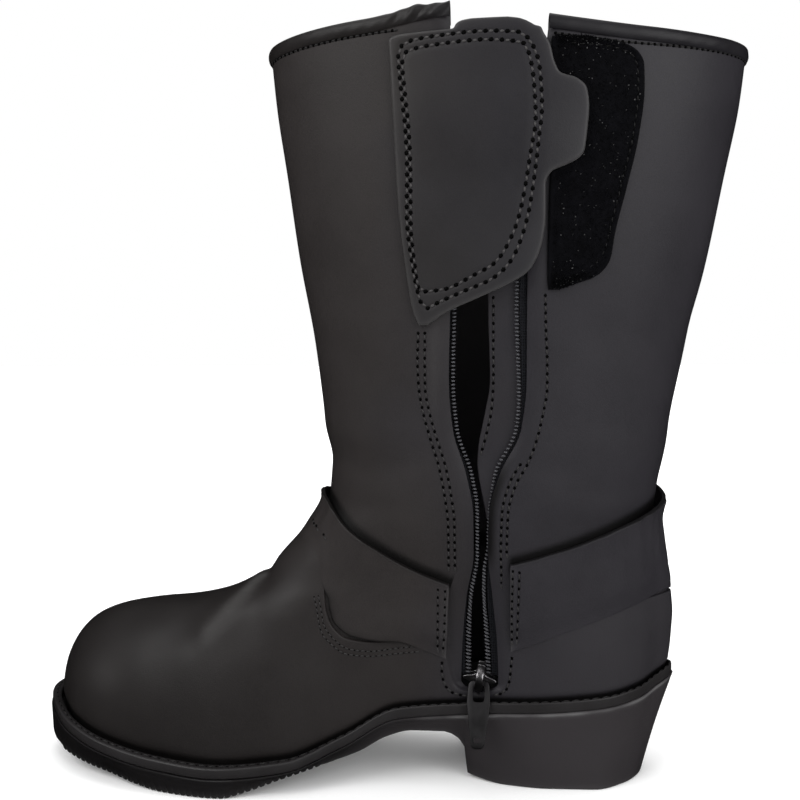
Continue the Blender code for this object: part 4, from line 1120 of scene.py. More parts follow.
# the zip's two halves: tapes behind the leather, coil teeth along them and the facing behind the rear half
zipLook = {
    "span": (51.5, 328.0),
    "hidden": 7.0,
    "tapeDepth": 3.0,
    "tapeThick": 0.9,
    "teethDepth": 2.3,
    "teethThick": 2.2,
    "teethWidth": 2.4,
    "teethGap": 0.3,
    "pitch": 1.65,
    # half height, slant and half depth of a tooth
    "tooth": (0.50, 0.12, 0.95),
    # how much longer the teeth are at the foot, and between which heights
    "longTeeth": (0.45, 84.0, 104.0),
    # the rear half sinks behind the leather where the halves meet
    "sunk": (100.0, 112.0, 134.0, 150.0),
    "sunkBy": (1.6, 2.0),  # along the tape, inwards
    "facingThick": 1.4,
    "facingSeam": 14.0,
    "facingGap": 0.3,
    # where the facing steps down under the tape, and under the teeth
    "facingStep": (2.5, 0.5),
    "facingDip": (4.0, 1.0),
    "facingRadius": 0.6,
    "facingRaw": 0.6,
    # z, free edge of the facing
    "facing": (
        (124.0, 84.2), (131.0, 85.4), (138.0, 86.9), (150.0, 88.5), (157.0, 88.0), (172.0, 85.0),
        (186.0, 82.8), (222.0, 83.8), (300.0, 79.0), (326.0, 77.0),
    ),
}
zipHalves = {
    "front": (zipFront, tapeFront, -1.0),
    "rear": (zipRear, tapeRear, 1.0),
}
underTape = zipLook["tapeDepth"] + zipLook["tapeThick"] + zipLook["facingGap"]
underTeeth = zipLook["teethDepth"] + zipLook["teethThick"] + zipLook["facingGap"]


def makeTape(half):
    look = zipLook
    edge, tape, way = zipHalves[half]
    heights = np.linspace(*look["span"], 120)
    shares = np.linspace(0, 1, 8)[:: int(-way)]

    def faces(column, row):
        z, share = heights[row], shares[column]
        hidden, free = edge(z) - way * look["hidden"], edge(z) + way * tape(z)
        x = hidden + (free - hidden) * share
        depths = (look["tapeDepth"], look["tapeDepth"] + look["tapeThick"])
        return [innerSkin(x, z, np.full(len(x), -depth)) for depth in depths]

    # the grid's columns run backwards in x, so that its faces look out
    piece = sheetPiece(half + "TapeLook", shares, heights, faces)
    return finishPiece(piece, ("tape", "tape"), ("zip_tape_" + half,))


def ball(segments, rings):
    return lambda: bpy.ops.mesh.primitive_uv_sphere_add(segments=segments, ring_count=rings, radius=1.0)


def repeatShape(name, base, centres, axes):
    # one small shape set at every centre, with its axes and their lengths
    startFresh()
    base()
    seed = bpy.context.object
    shape = readPoints(seed)
    faces = [list(face.vertices) for face in seed.data.polygons]
    bpy.data.objects.remove(seed)
    points = centres[:, None, :] + np.einsum("vk,nkc->nvc", shape, axes)
    copies = [[k + n * len(shape) for k in face] for n in range(len(centres)) for face in faces]
    mesh = bpy.data.meshes.new(name)
    mesh.from_pydata(toFrame(points.reshape(-1, 3)), [], copies)
    piece = bpy.data.objects.new(name, mesh)
    bpy.context.scene.collection.objects.link(piece)
    pickOnly(piece)
    mendMesh()
    return piece


def makeTeeth(half):
    look = zipLook
    edge, tape, way = zipHalves[half]
    heights = np.arange(look["span"][0] + 1.0, look["span"][1], look["pitch"])
    start = edge(heights) + way * (tape(heights) + look["teethGap"])
    sunk = (way > 0) * between(heights, *look["sunk"])
    back, deep = look["sunkBy"]
    turn, level = innerPlace(start + way * (look["teethWidth"] / 2 - back * sunk), heights)
    point, out, up = skinFrame(turn, level)
    forward = np.cross(out, up)
    centres = point - out * (look["teethDepth"] + look["teethThick"] / 2 + deep * sunk)[:, None]
    longer, *footSpan = look["longTeeth"]
    length = (1.0 + longer * (1 - smoothStep(heights, *footSpan)))[:, None]
    tall, slant, thick = look["tooth"]
    axes = np.stack([forward * length, up * tall + forward * slant * way, out * thick], axis=1)
    piece = repeatShape(half + "TeethLook", ball(10, 7), centres, axes)
    return finishPiece(piece, ("coil",), ("zip_teeth_" + half,), angle=60)


def makeFacing():
    look = zipLook
    edge = columnOf(look["facing"], 0, 1)
    heights = packed(look["facing"][0][0], look["facing"][-1][0], 70, 0.8)
    shares = packed(0.0, 1.0, 18, 0.03)
    (stepStart, stepEnd), (dipStart, dipEnd) = look["facingStep"], look["facingDip"]

    def faces(column, row):
        z, share = heights[row], shares[::-1][column]
        rear = zipRear(z)
        seam = rear - look["facingSeam"]
        x = seam + (edge(z) - seam) * share
        tapeEdge = rear - look["hidden"]
        lowered = smoothStep(x, tapeEdge - stepStart, tapeEdge - stepEnd)
        depth = look["tapeDepth"] + (underTape - look["tapeDepth"]) * lowered
        dip = smoothStep(x, rear - dipStart, rear + tapeRear(z) - dipEnd)
        depth = depth + (underTeeth - underTape) * dip
        drop = edgeDrop(edge(z) - x, look["facingRadius"])
        return innerSkin(x, z, -depth - drop), innerSkin(x, z, -depth - look["facingThick"])

    def wearAndPaintedLight(column, row):
        return look["facingRaw"] * (column == 0)

    piece = sheetPiece("zipFacingLook", shares, heights, faces, wearAndPaintedLight)
    return finishPiece(piece, ("facing", "facing"), ("zip_facing",), angle=60)


for half in zipHalves:
    makeTape(half)
    makeTeeth(half)
makeFacing()


# the flap that closes the collar over the zip, and the pile patch it sticks to
flapLook = {
    "thick": 2.4,
    "lift": 0.5,
    "rise": 1.8,
    "riseSpan": (-104.0, -66.0),
    "edgeRadius": 1.0,
    "groove": (1.1, 0.22),  # width, depth
    "sway": ((0.22, 0.11, 0.05, 0.0), (0.16, -0.06, 0.13, 0.0)),
    "rawEdge": 0.8,
    # z, front edge, rear edge
    "rows": (
        (210.8, 113.2, 109.5), (213.0, 114.2, 106.5), (216.5, 115.6, 101.0), (222.6, 117.0, 87.3),
        (229.6, 118.1, 72.5), (233.5, 118.7, 67.0), (238.0, 119.3, 64.0), (247.0, 120.4, 61.0),
        (257.0, 121.4, 59.9), (269.8, 122.4, 60.0), (275.0, 122.7, 57.5), (278.0, 122.9, 51.0),
        (280.6, 123.1, 46.3), (283.6, 123.3, 44.0), (291.0, 123.7, 42.9), (302.0, 124.3, 42.0),
        (309.7, 124.7, 43.1), (313.8, 124.9, 47.5), (316.0, 125.0, 54.0), (321.6, 125.3, 56.8),
        (327.5, 125.7, 58.2), (332.5, 126.0, 61.0), (334.6, 121.5, 62.0), (335.1, 112.0, 63.0),
        (335.5, 98.6, 64.6), (337.4, 97.2, 68.0), (338.6, 95.0, 71.5), (339.2, 91.0, 76.0),
    ),
    "outerRow": (
        (121.6, 325.2), (120.5, 312.2), (118.5, 292.9), (117.9, 276.4), (118.0, 257.1), (116.0, 237.7),
        (112.6, 221.7), (109.8, 218.1), (104.3, 220.8), (93.3, 225.5), (82.4, 230.2), (74.9, 237.0),
        (70.3, 246.6), (67.0, 258.8), (64.9, 272.3), (63.0, 288.6), (61.7, 302.1), (62.4, 315.5),
        (63.8, 322.9), (67.8, 330.3), (70.5, 332.4), (87.8, 333.5), (108.1, 332.5), (119.1, 330.5),
    ),
    "innerRow": (
        (119.8, 322.7), (118.5, 308.4), (117.0, 293.1), (116.3, 273.5), (116.3, 254.0), (114.8, 237.1),
        (112.1, 225.2), (102.1, 226.2), (90.4, 231.6), (80.8, 237.2), (75.4, 245.2), (71.2, 256.0),
        (68.4, 269.6), (66.3, 283.3), (64.3, 297.0), (64.9, 310.7), (66.3, 320.6), (69.6, 328.0),
        (87.5, 330.0), (109.0, 328.8), (118.5, 326.6),
    ),
}
flapRows = [smoothLine(flapLook[key], 2.0, closed=True) for key in ("outerRow", "innerRow")]


def outlineOf(z, front, rear):
    edge = np.concatenate([np.stack([front, z], -1), np.stack([rear, z], -1)[::-1]])
    return np.concatenate([edge, edge[:1]])


def flapLift(x):
    return flapLook["lift"] + flapLook["rise"] * smoothStep(-x, *flapLook["riseSpan"])


def flapTop(x, z):
    spots = np.stack([x, z], -1)
    width, depth = flapLook["groove"]
    groove = sum(
        depth * np.exp(-((polylineDistance(spots, line) / width) ** 2)) for line in flapRows
    )
    return flapLift(x) + flapLook["thick"] - groove + waves(flapLook["sway"], x, z)


def makeFlap():
    look = flapLook
    z, front, rear = panelRows(look["rows"], 190)
    shares = packed(0.0, 1.0, 44, 0.02)
    outline = outlineOf(z, front, rear)

    def edgeDistance(column, row):
        x = front[row] + (rear[row] - front[row]) * shares[column]
        spots = np.stack([x, z[row]], -1)
        return spots, polylineDistance(spots, outline)

    def faces(column, row):
        spots, distance = edgeDistance(column, row)
        x, height = spots.T
        offset = flapTop(x, height) - edgeDrop(distance, look["edgeRadius"])
        return innerSkin(x, height, offset), innerSkin(x, height, flapLift(x))

    def wearAndPaintedLight(column, row):
        return np.exp(-edgeDistance(column, row)[1] / look["rawEdge"])

    piece = sheetPiece("closureFlapLook", shares, z, faces, wearAndPaintedLight)
    return finishPiece(piece, ("flap", "flap"), ("closure_flap",), angle=60)


patchLook = {
    "thick": 1.3,
    "lift": 0.35,
    "edgeRadius": 0.9,
    # depth of the line of its seam, its distance from the edge and its width
    "seam": (0.4, 2.6, 0.8),
    "fuzz": ((0.12, 3.1, 1.7, 0.0),),
    "fuzzAcross": ((1.0, -0.8, 2.9, 0.0),),
    "fuzzSpan": (3.0, 4.5),
    # name, count, length, width and finish: fibres stand on the patch, and light lint is caught in it
    "loose": (
        ("patchFibres", 5200, 1.0, 0.16, "pile"),
        ("patchLint", 190, 0.3, 0.34, "lint"),
    ),
    # shares of the rows and of the width that carry them
    "looseRows": (0.02, 0.98),
    "looseStart": 0.08,
    "looseWidth": 0.86,
    "lean": 0.55,
    "looseLift": 0.1,
    "leastSize": 0.5,
    "leastFlat": 0.4,
    # z, front edge, rear edge
    "rows": (
        (225.6, 58.0, 54.0), (228.0, 58.4, 46.7), (231.8, 58.6, 37.0), (238.6, 58.6, 31.6),
        (250.0, 58.4, 29.6), (268.3, 58.0, 25.0), (291.5, 57.0, 19.7), (310.8, 57.2, 17.5),
        (321.0, 57.4, 17.8), (326.2, 57.4, 20.5), (329.4, 57.4, 26.5), (331.2, 57.2, 36.0),
        (331.9, 57.0, 45.0),
    ),
}


def spike():
    bpy.ops.mesh.primitive_cone_add(vertices=3, radius1=1.0, depth=1.6, end_fill_type="NOTHING")


def makePatch():
    look = patchLook
    z, front, rear = panelRows(look["rows"], 90)
    shares = packed(0.0, 1.0, 26, 0.02)
    outline = outlineOf(z, front, rear)
    top = look["lift"] + look["thick"]

    def faces(column, row):
        x = front[row] + (rear[row] - front[row]) * shares[column]
        height = z[row]
        distance = polylineDistance(np.stack([x, height], -1), outline)
        depth, place, width = look["seam"]
        seam = depth * np.exp(-((distance - place) / width) ** 2)
        fuzz = waves(look["fuzz"], x, height) * waves(look["fuzzAcross"], x, height)
        offset = top - edgeDrop(distance, look["edgeRadius"]) - seam
        offset = offset + fuzz * smoothStep(distance, *look["fuzzSpan"])
        return innerSkin(x, height, offset), innerSkin(x, height, np.full(len(x), look["lift"]))

    piece = sheetPiece("loopPatchLook", shares, z, faces)
    finishPiece(piece, ("pile", "pile"), ("loop_patch",), angle=60)

    for name, count, length, width, material in look["loose"]:
        pick = np.clip(dice.random(count), *look["looseRows"]) * (len(z) - 1)
        spot = [np.interp(pick, range(len(z)), values) for values in (z, front, rear)]
        across = look["looseStart"] + look["looseWidth"] * dice.random(count)
        x = spot[1] + (spot[2] - spot[1]) * across
        turn, level = innerPlace(x, spot[0])
        point, out, up = skinFrame(turn, level)
        lean = unit(out + dice.normal(0.0, look["lean"], (count, 3)))
        side = unit(np.cross(lean, up))
        third = np.cross(lean, side)
        size = (look["leastSize"] + dice.random(count))[:, None]
        flat = (look["leastFlat"] + dice.random(count))[:, None]
        axes = np.stack([side * width * size, third * width * flat, lean * length * size], 1)
        centres = point + out * (top + look["looseLift"] + length * 0.2)
        piece = repeatShape(name, spike, centres, axes)
        finishPiece(piece, (material,), angle=80)


makeFlap()
makePatch()


# slider and pull of the zip
metalLook = {
    "place": (87.0, 50.5),  # x, z
    # share of the height, half width
    "shield": (
        (-0.8, 2.2), (-0.55, 2.9), (-0.36, 4.2), (-0.24, 6.6), (-0.14, 7.7), (-0.04, 7.6), (0.08, 6.0),
        (0.2, 3.2), (0.34, 2.0), (0.7, 1.8), (0.94, 1.7), (1.0, 1.2),
    ),
    "height": 12.5,
    "face": -0.3,
    "plate": 1.5,
    "depth": 6.6,
    "faceBevel": 0.45,
    "backBevel": 0.4,
    # the core's size against the shield, and how far it reaches into the two plates
    "core": {"size": (0.28, 0.5), "intoBack": 1.0, "intoFace": 0.5},
    "arch": {"reach": 6.0, "rise": 5.6, "thick": 1.6, "width": 3.6, "sideBlunt": 0.4, "deepBlunt": 0.7},
    "pinOut": 1.7,
    "pinDown": 1.5,
    "tilt": math.radians(25),
    "pullThick": 1.6,
    "pullBevel": 0.3,
    # reach from the pin, half width
    "pull": (
        (-0.8, 2.8), (-0.5, 3.7), (0.2, 4.4), (1.2, 4.75), (7.5, 5.2), (8.8, 5.3), (9.8, 5.2),
        (25.5, 3.2), (27.0, 2.85), (28.0, 2.2), (28.5, 1.2),
    ),
    # start, end and half width of the two holes
    "window": (0.8, 8.6, 2.7),
    "slot": (23.6, 26.0, 1.6),
    "holeBlunt": 0.5,
    "holeReach": 2.0,
}


def platePiece(name, outline, place, forward, up, out, near, far, bevel):
    # a filled circle takes the outline, is extruded to the plate's depth, and its edges are bevelled
    outline = np.asarray(outline, float)
    startFresh()
    bpy.ops.mesh.primitive_circle_add(vertices=len(outline), fill_type="NGON")
    piece = bpy.context.object
    piece.name = piece.data.name = name
    writePoints(piece, place + outline[:, :1] * forward + outline[:, 1:] * up + out * near)
    bpy.ops.object.mode_set(mode="EDIT")
    bpy.ops.mesh.select_all(action="SELECT")
    bpy.ops.mesh.extrude_region_move(TRANSFORM_OT_translate={"value": Vector(out * (far - near) * 0.001)})
    bpy.ops.mesh.select_all(action="SELECT")
    bpy.ops.mesh.normals_make_consistent(inside=False)
    bpy.ops.object.mode_set(mode="OBJECT")
    if bevel:
        edge = piece.modifiers.new("edge", "BEVEL")
        edge.width, edge.segments = bevel * 0.001, 3
        edge.limit_method, edge.angle_limit = "ANGLE", math.radians(50)
        bpy.ops.object.modifier_apply(modifier="edge")
    return piece


def cutAway(piece, tool):
    pickOnly(piece)
    cut = piece.modifiers.new("cut", "BOOLEAN")
    cut.operation, cut.solver, cut.object = "DIFFERENCE", "EXACT", tool
    bpy.ops.object.modifier_apply(modifier="cut")
    bpy.data.objects.remove(tool)


def joinPieces(pieces):
    pickOnly(*pieces)
    bpy.ops.object.join()
    return pieces[0]


def sliderFrame():
    turn, level = innerPlace(*[np.array([value]) for value in metalLook["place"]])
    point, out, up = (values[0] for values in skinFrame(turn, level))
    return point, unit(np.cross(out, up)), up, out


def makeSlider():
    look = metalLook
    point, forward, up, out = sliderFrame()
    half = look["height"] / 2
    heights = np.linspace(look["shield"][0][0], look["shield"][-1][0], 37)
    side = np.stack([columnOf(look["shield"], 0, 1)(heights), heights * half], -1)
    shield = np.concatenate([side, side[::-1] * (-1, 1)])
    face, back = look["face"], look["face"] - look["depth"]
    core = look["core"]
    plates = (
        ("zipSliderLook", shield, face - look["plate"], face, look["faceBevel"]),
        ("sliderBack", shield, back, back + look["plate"], look["backBevel"]),
        ("sliderCore", shield * core["size"], back + core["intoBack"], face - core["intoFace"], 0.0),
    )
    pieces = [
        platePiece(name, outline, point, forward, up, out, near, far, bevel)
        for name, outline, near, far, bevel in plates
    ]
    arch = look["arch"]
    bows = np.linspace(0.0, math.pi, 22)
    rounds = np.linspace(0.0, math.tau, 15)

    def points(column, row):
        angle, turn = bows[row], rounds[column]
        side = blunt(np.cos(turn), arch["sideBlunt"]) * arch["width"] / 2
        deep = blunt(np.sin(turn), arch["deepBlunt"]) * arch["thick"] / 2
        length = np.cos(angle) * (arch["reach"] - arch["thick"] / 2 + deep)
        height = arch["rise"] + look["plate"] / 2 - arch["thick"] / 2 + deep
        rise = face - look["plate"] / 2 + np.sin(angle) * height
        place = point + side[:, None] * forward + length[:, None] * up + rise[:, None] * out
        return place, np.zeros(len(angle))

    pieces.append(tubePiece("sliderArch", rounds, bows, points))
    return finishPiece(joinPieces(pieces), ("metal",), ("zip_slider",), angle=35)


def makePull():
    look = metalLook
    point, _, up, out = sliderFrame()
    pin = point + out * look["pinOut"] - up * look["pinDown"]
    levelOut = np.array([out[0], out[1], 0.0]) / np.hypot(out[0], out[1])
    reach = levelOut * math.sin(look["tilt"]) - np.array([0.0, 0.0, 1.0]) * math.cos(look["tilt"])
    across = unit(np.cross(reach, levelOut))
    face = np.cross(across, reach)
    thick = look["pullThick"] / 2
    rows = np.array(look["pull"])
    outline = np.concatenate([rows, rows[::-1] * (1, -1)])
    bevel, deep = look["pullBevel"], look["holeReach"]
    piece = platePiece("zipPullLook", outline, pin, reach, across, face, -thick, thick, bevel)
    turns = np.linspace(0, math.tau, 28, endpoint=False)
    rounded = blunt(np.stack([np.cos(turns), np.sin(turns)], -1), look["holeBlunt"])
    for start, end, half in (look["window"], look["slot"]):
        hole = rounded * ((end - start) / 2, half) + ((start + end) / 2, 0.0)
        cutAway(piece, platePiece("hole", hole, pin, reach, across, face, -deep, deep, 0.0))
    return finishPiece(piece, ("pullMetal",), ("zip_pull",), body="pull", angle=35)


makeSlider()
makePull()


# outsole, welt and insole
soleLook = {
    # x, inner reach, outer reach, height of the heel's face
    "heel": (
        (9.4, 0.0, 0.0, 0.0), (12.6, 12.0, 12.0, 0.0), (21.2, 22.5, 23.0, 0.0), (35.6, 30.0, 30.5, 0.0),
        (56.0, 30.0, 31.5, 0.0), (76.0, 26.5, 31.0, 0.0), (88.0, 21.5, 28.5, 1.2), (92.5, 19.0, 26.0, 2.0),
    ),
    # x, height of the tread, its width against the sole's edge
    "tread": (
        (94.0, 16.0, 0.70), (97.0, 21.5, 0.80), (103.0, 25.0, 0.86), (118.0, 25.0, 0.86), (130.0, 22.0, 0.87),
        (142.0, 15.8, 0.88), (157.0, 11.3, 0.90), (175.0, 7.0, 0.92), (192.0, 2.2, 0.95), (203.0, 0.0, 0.97),
        (230.0, 0.0, 0.94), (245.0, 1.2, 0.90), (261.0, 3.2, 0.85), (278.5, 5.8, 0.87), (292.5, 8.6, 0.90),
        (302.3, 11.0, 0.90),
    ),
    "ribs": {
        "first": 160.0,
        "last": 289.0,
        "pitch": 3.0,
        "depth": 0.9,
        # heights over the tread at which a groove ends and is full
        "span": (4.5, 1.0),
        # place along a rib, share of the groove's depth
        "profile": ((-0.35, 0.45), (0.0, 0.0), (0.7, 0.0), (1.4, 0.0), (1.75, 0.45), (2.05, 1.0), (2.4, 1.0)),
    },
    # where the sections of the arch and of the toe lie
    "archStations": np.concatenate([[94, 95, 96, 97, 98.5, 100, 103], np.linspace(107, 156.8, 18)]),
    "toeTurns": (0.32, 0.29, 0.26, 0.22, 0.18, 0.14, 0.10, 0.06, 0.03),
    "wallShares": np.concatenate([
        [0.0, 0.02, 0.05, 0.085, 0.12, 0.15], np.linspace(0.22, 0.86, 9), [0.91, 0.95, 0.98, 1.0]
    ]),
    "flatShares": np.array([0.03, 0.08, 0.2, 0.35, 0.5, 0.65, 0.8, 0.92, 0.97]),
    "corner": 0.9,
    # depth, distance below the top and width of the fine line under the welt
    "line": (0.16, 2.6, 0.5),
    # depth of the wall's hollow, and the heights of wall over which it grows
    "hollow": (0.5, 14.0, 30.0),
    "tail": (2.0, 4.4),  # distances behind x 0
    # strength and width of the rubbed lower edge
    "rubbedAndPaintedHighlight": (0.16, 1.2),
    # painted highlight along the top of the heel
    "glint": {
        "place": 0.8,
        "width": 0.7,
        "strength": 0.5,
        "front": 120.0,
        "fade": 14.0,
        "base": 0.55,
        "waves": ((0.3, 0.16, 0.0, 0.0), (0.15, 0.47, 0.0, 0.0)),
    },
    "weltStep": 0.6,
    "weltBlunt": (0.35, 0.45),
    # height of the cut below which the welt sinks, and by how much
    "weltSink": (-0.5, -0.4),
    # how far out and how low the welt begins to shine and is full
    "weltShine": ((0.5, 0.95), (0.2, 0.9)),
    "insole": {"ends": 0.04, "inset": 1.3, "cup": 0.4, "lift": 0.5, "thick": 3.1},
}


def soleSections():
    # top x, foot x, inner and outer reach of the foot, its height and the depth of a rib's groove
    look = soleLook
    back, breast = look["heel"][0][0], look["heel"][-1][0]
    turns = [math.acos(1 - (row[0] - back) / (breast - back)) for row in look["heel"]]
    inner, outer, base = (smoothCurve(turns, [row[k] for row in look["heel"]]) for k in (1, 2, 3))
    sections = []
    for turn in np.linspace(0.03, math.pi / 2, 44):
        share = 1 - math.cos(turn)
        topX, footX = soleBack + (breast - soleBack) * share, back + (breast - back) * share
        sections.append((topX, footX, inner(turn), outer(turn), base(turn), 0.0))
    height, narrow = columnOf(look["tread"], 0, 1), columnOf(look["tread"], 0, 2)
    ribs = look["ribs"]
    places = [(x, 0.0) for x in look["archStations"]]
    for x in np.arange(ribs["first"], ribs["last"] - 1.0, ribs["pitch"]):
        places += [(x + ahead, groove) for ahead, groove in ribs["profile"]]
    last = places[-1][0]
    toe = [along(turn, soleBack, soleFront) for turn in look["toeTurns"]]
    places += [(x, 0.0) for x in toe if x > last + 0.5]
    for x, groove in places:
        turn, centre, wide = turnAt(x, soleBack, soleFront), toeSwing(x), narrow(x)
        innerFoot = centre + (innerReach(turn) - centre) * wide
        outerFoot = -centre + (outerReach(turn) + centre) * wide
        sections.append((x, x, innerFoot, outerFoot, height(x), groove * ribs["depth"]))
    return np.array(sections, float)


def makeOutsole():
    look = soleLook
    sections = soleSections()
    # ring: down the outer wall, across the tread, up the inner wall and back over the top
    wall, flat = look["wallShares"], look["flatShares"]
    ring = [(0, k) for k in wall] + [(1, k) for k in flat]
    ring = ring + [(2, k) for k in wall[::-1]] + [(3, k) for k in flat]
    ring = np.array(ring + ring[:1])
    glint = look["glint"]

    def points(column, row):
        xTop, xFoot, inner, outer, base, groove = sections[row].T
        side, share = ring[column].T
        turn = turnAt(xTop, soleBack, soleFront)
        innerTop, outerTop, top = innerReach(turn), -outerReach(turn), outsoleTop(xTop)
        onWall = (side == 0) | (side == 2)
        span = np.maximum(innerTop - outerTop, 0.2)
        down = np.where(onWall, share, np.where(side == 1, 1.0, 0.0))
        # the corners are rounded, and a fine line runs round under the welt
        wallHeight = np.maximum(top - base, 1.0)
        below = down * wallHeight
        corner = edgeDrop(np.minimum(down, 1 - down) * wallHeight, look["corner"]) * onWall
        depth, place, width = look["line"]
        line = depth * np.exp(-(((below - place) / width) ** 2)) * onWall
        depth, low, high = look["hollow"]
        hollow = depth * np.sin(np.pi * down) * onWall * smoothStep(wallHeight, low, high)
        inset = np.minimum(corner + line + hollow, span * 0.2)
        topY = np.where(side == 0, outerTop, np.where(side == 2, innerTop, 0.0))
        footY = np.where(side == 0, -outer, np.where(side == 2, inner, 0.0))
        y = topY + (footY - topY) * down - np.where(side == 2, 1, -1) * inset
        across = np.where(side == 1, share, 1 - share)
        flatLow = np.where(side == 1, -outer, outerTop)
        flatHigh = np.where(side == 1, inner, innerTop)
        y = np.where(onWall, y, flatLow + (flatHigh - flatLow) * across)
        start, full = look["ribs"]["span"]
        cut = groove * smoothStep(below, wallHeight - start, wallHeight - full)
        z = top + (base - top) * down + cut
        x = xTop + (xFoot - xTop) * down
        # at the very back the wall is set in along x
        x = x + smoothStep(-xTop, *look["tail"]) * onWall * inset
        # rubbed light along its lower edge, which is wear, and a painted highlight along the top of the heel
        strength, width = look["rubbedAndPaintedHighlight"]
        wearAndPaintedLight = np.exp(-(((1 - down) * wallHeight) / width)) * onWall * strength
        light = glint["base"] + waves(glint["waves"], xTop, 0.0)
        light = light * smoothStep(glint["front"] - xTop, 0.0, glint["fade"]) * glint["strength"]
        wearAndPaintedLight = wearAndPaintedLight + np.exp(-(((below - glint["place"]) / glint["width"]) ** 2)) * onWall * light
        return np.stack([x, y, z], -1), wearAndPaintedLight

    piece = tubePiece("outsoleLook", range(len(ring)), range(len(sections)), points)
    return finishPiece(piece, ("rubber",), ("outsole",), angle=35)


def weltPlace(turn, inset, height):
    # a point of the welt at an inset from the sole's edge and a height over the outsole
    spot = edgeInset(turn, inset)
    return np.concatenate([spot, (outsoleTop(spot[..., 0]) + lastForm["weltGap"] + height)[..., None]], -1)


def makeWelt():
    look = soleLook
    startFresh()
    bpy.ops.mesh.primitive_torus_add(
        major_segments=300, minor_segments=18, major_radius=1.0, minor_radius=0.25
    )
    piece = bpy.context.object
    piece.name = piece.data.name = "weltLook"
    spots = readPoints(piece)
    turn = np.arctan2(spots[:, 1], spots[:, 0])
    lean = np.arctan2(spots[:, 2], np.hypot(spots[:, 0], spots[:, 1]) - 1.0)
    reach = blunt(np.cos(lean), look["weltBlunt"][0])
    height = blunt(np.sin(lean), look["weltBlunt"][1])
    outside, inside = look["weltStep"], ledgeAt(turn) - lastForm["weltGap"]
    inset = (outside + inside) / 2 - reach * (inside - outside) / 2
    foot, sink = look["weltSink"]
    rise = np.where(height < foot, sink, 0.0) + lastForm["weltThick"] / 2 * (1 + height)
    writePoints(piece, weltPlace(turn, inset, rise))
    outShine, lowShine = look["weltShine"]
    markPoints(piece, smoothStep(reach, *outShine) * smoothStep(-height, *lowShine))
    return finishPiece(piece, ("welt",), ("welt",), angle=60)


def makeInsole():
    look = soleLook["insole"]
    turns = np.linspace(look["ends"], math.pi - look["ends"], 90)[::-1]
    shares = packed(0.0, 1.0, 18, 0.02)
    inset = lastForm["vampStep"] + lastForm["wall"] + look["inset"]

    def faces(column, row):
        turn, share = turns[row], shares[column]
        inner = edgeInset(turn, ledgeAt(turn) + inset)
        outer = edgeInset(-turn, ledgeAt(turn) + inset)
        spot = inner + (outer - inner) * share[:, None]
        cup = look["cup"] * (2 * share - 1) ** 2
        low = outsoleTop(spot[:, 0]) + look["lift"]
        heights = (low + (look["thick"] + cup), low)
        return [np.concatenate([spot, height[:, None]], -1) for height in heights]

    piece = sheetPiece("insoleLook", shares, turns, faces)
    return finishPiece(piece, ("lining", "lining"), ("insole",), angle=60)


makeOutsole()
makeWelt()
makeInsole()


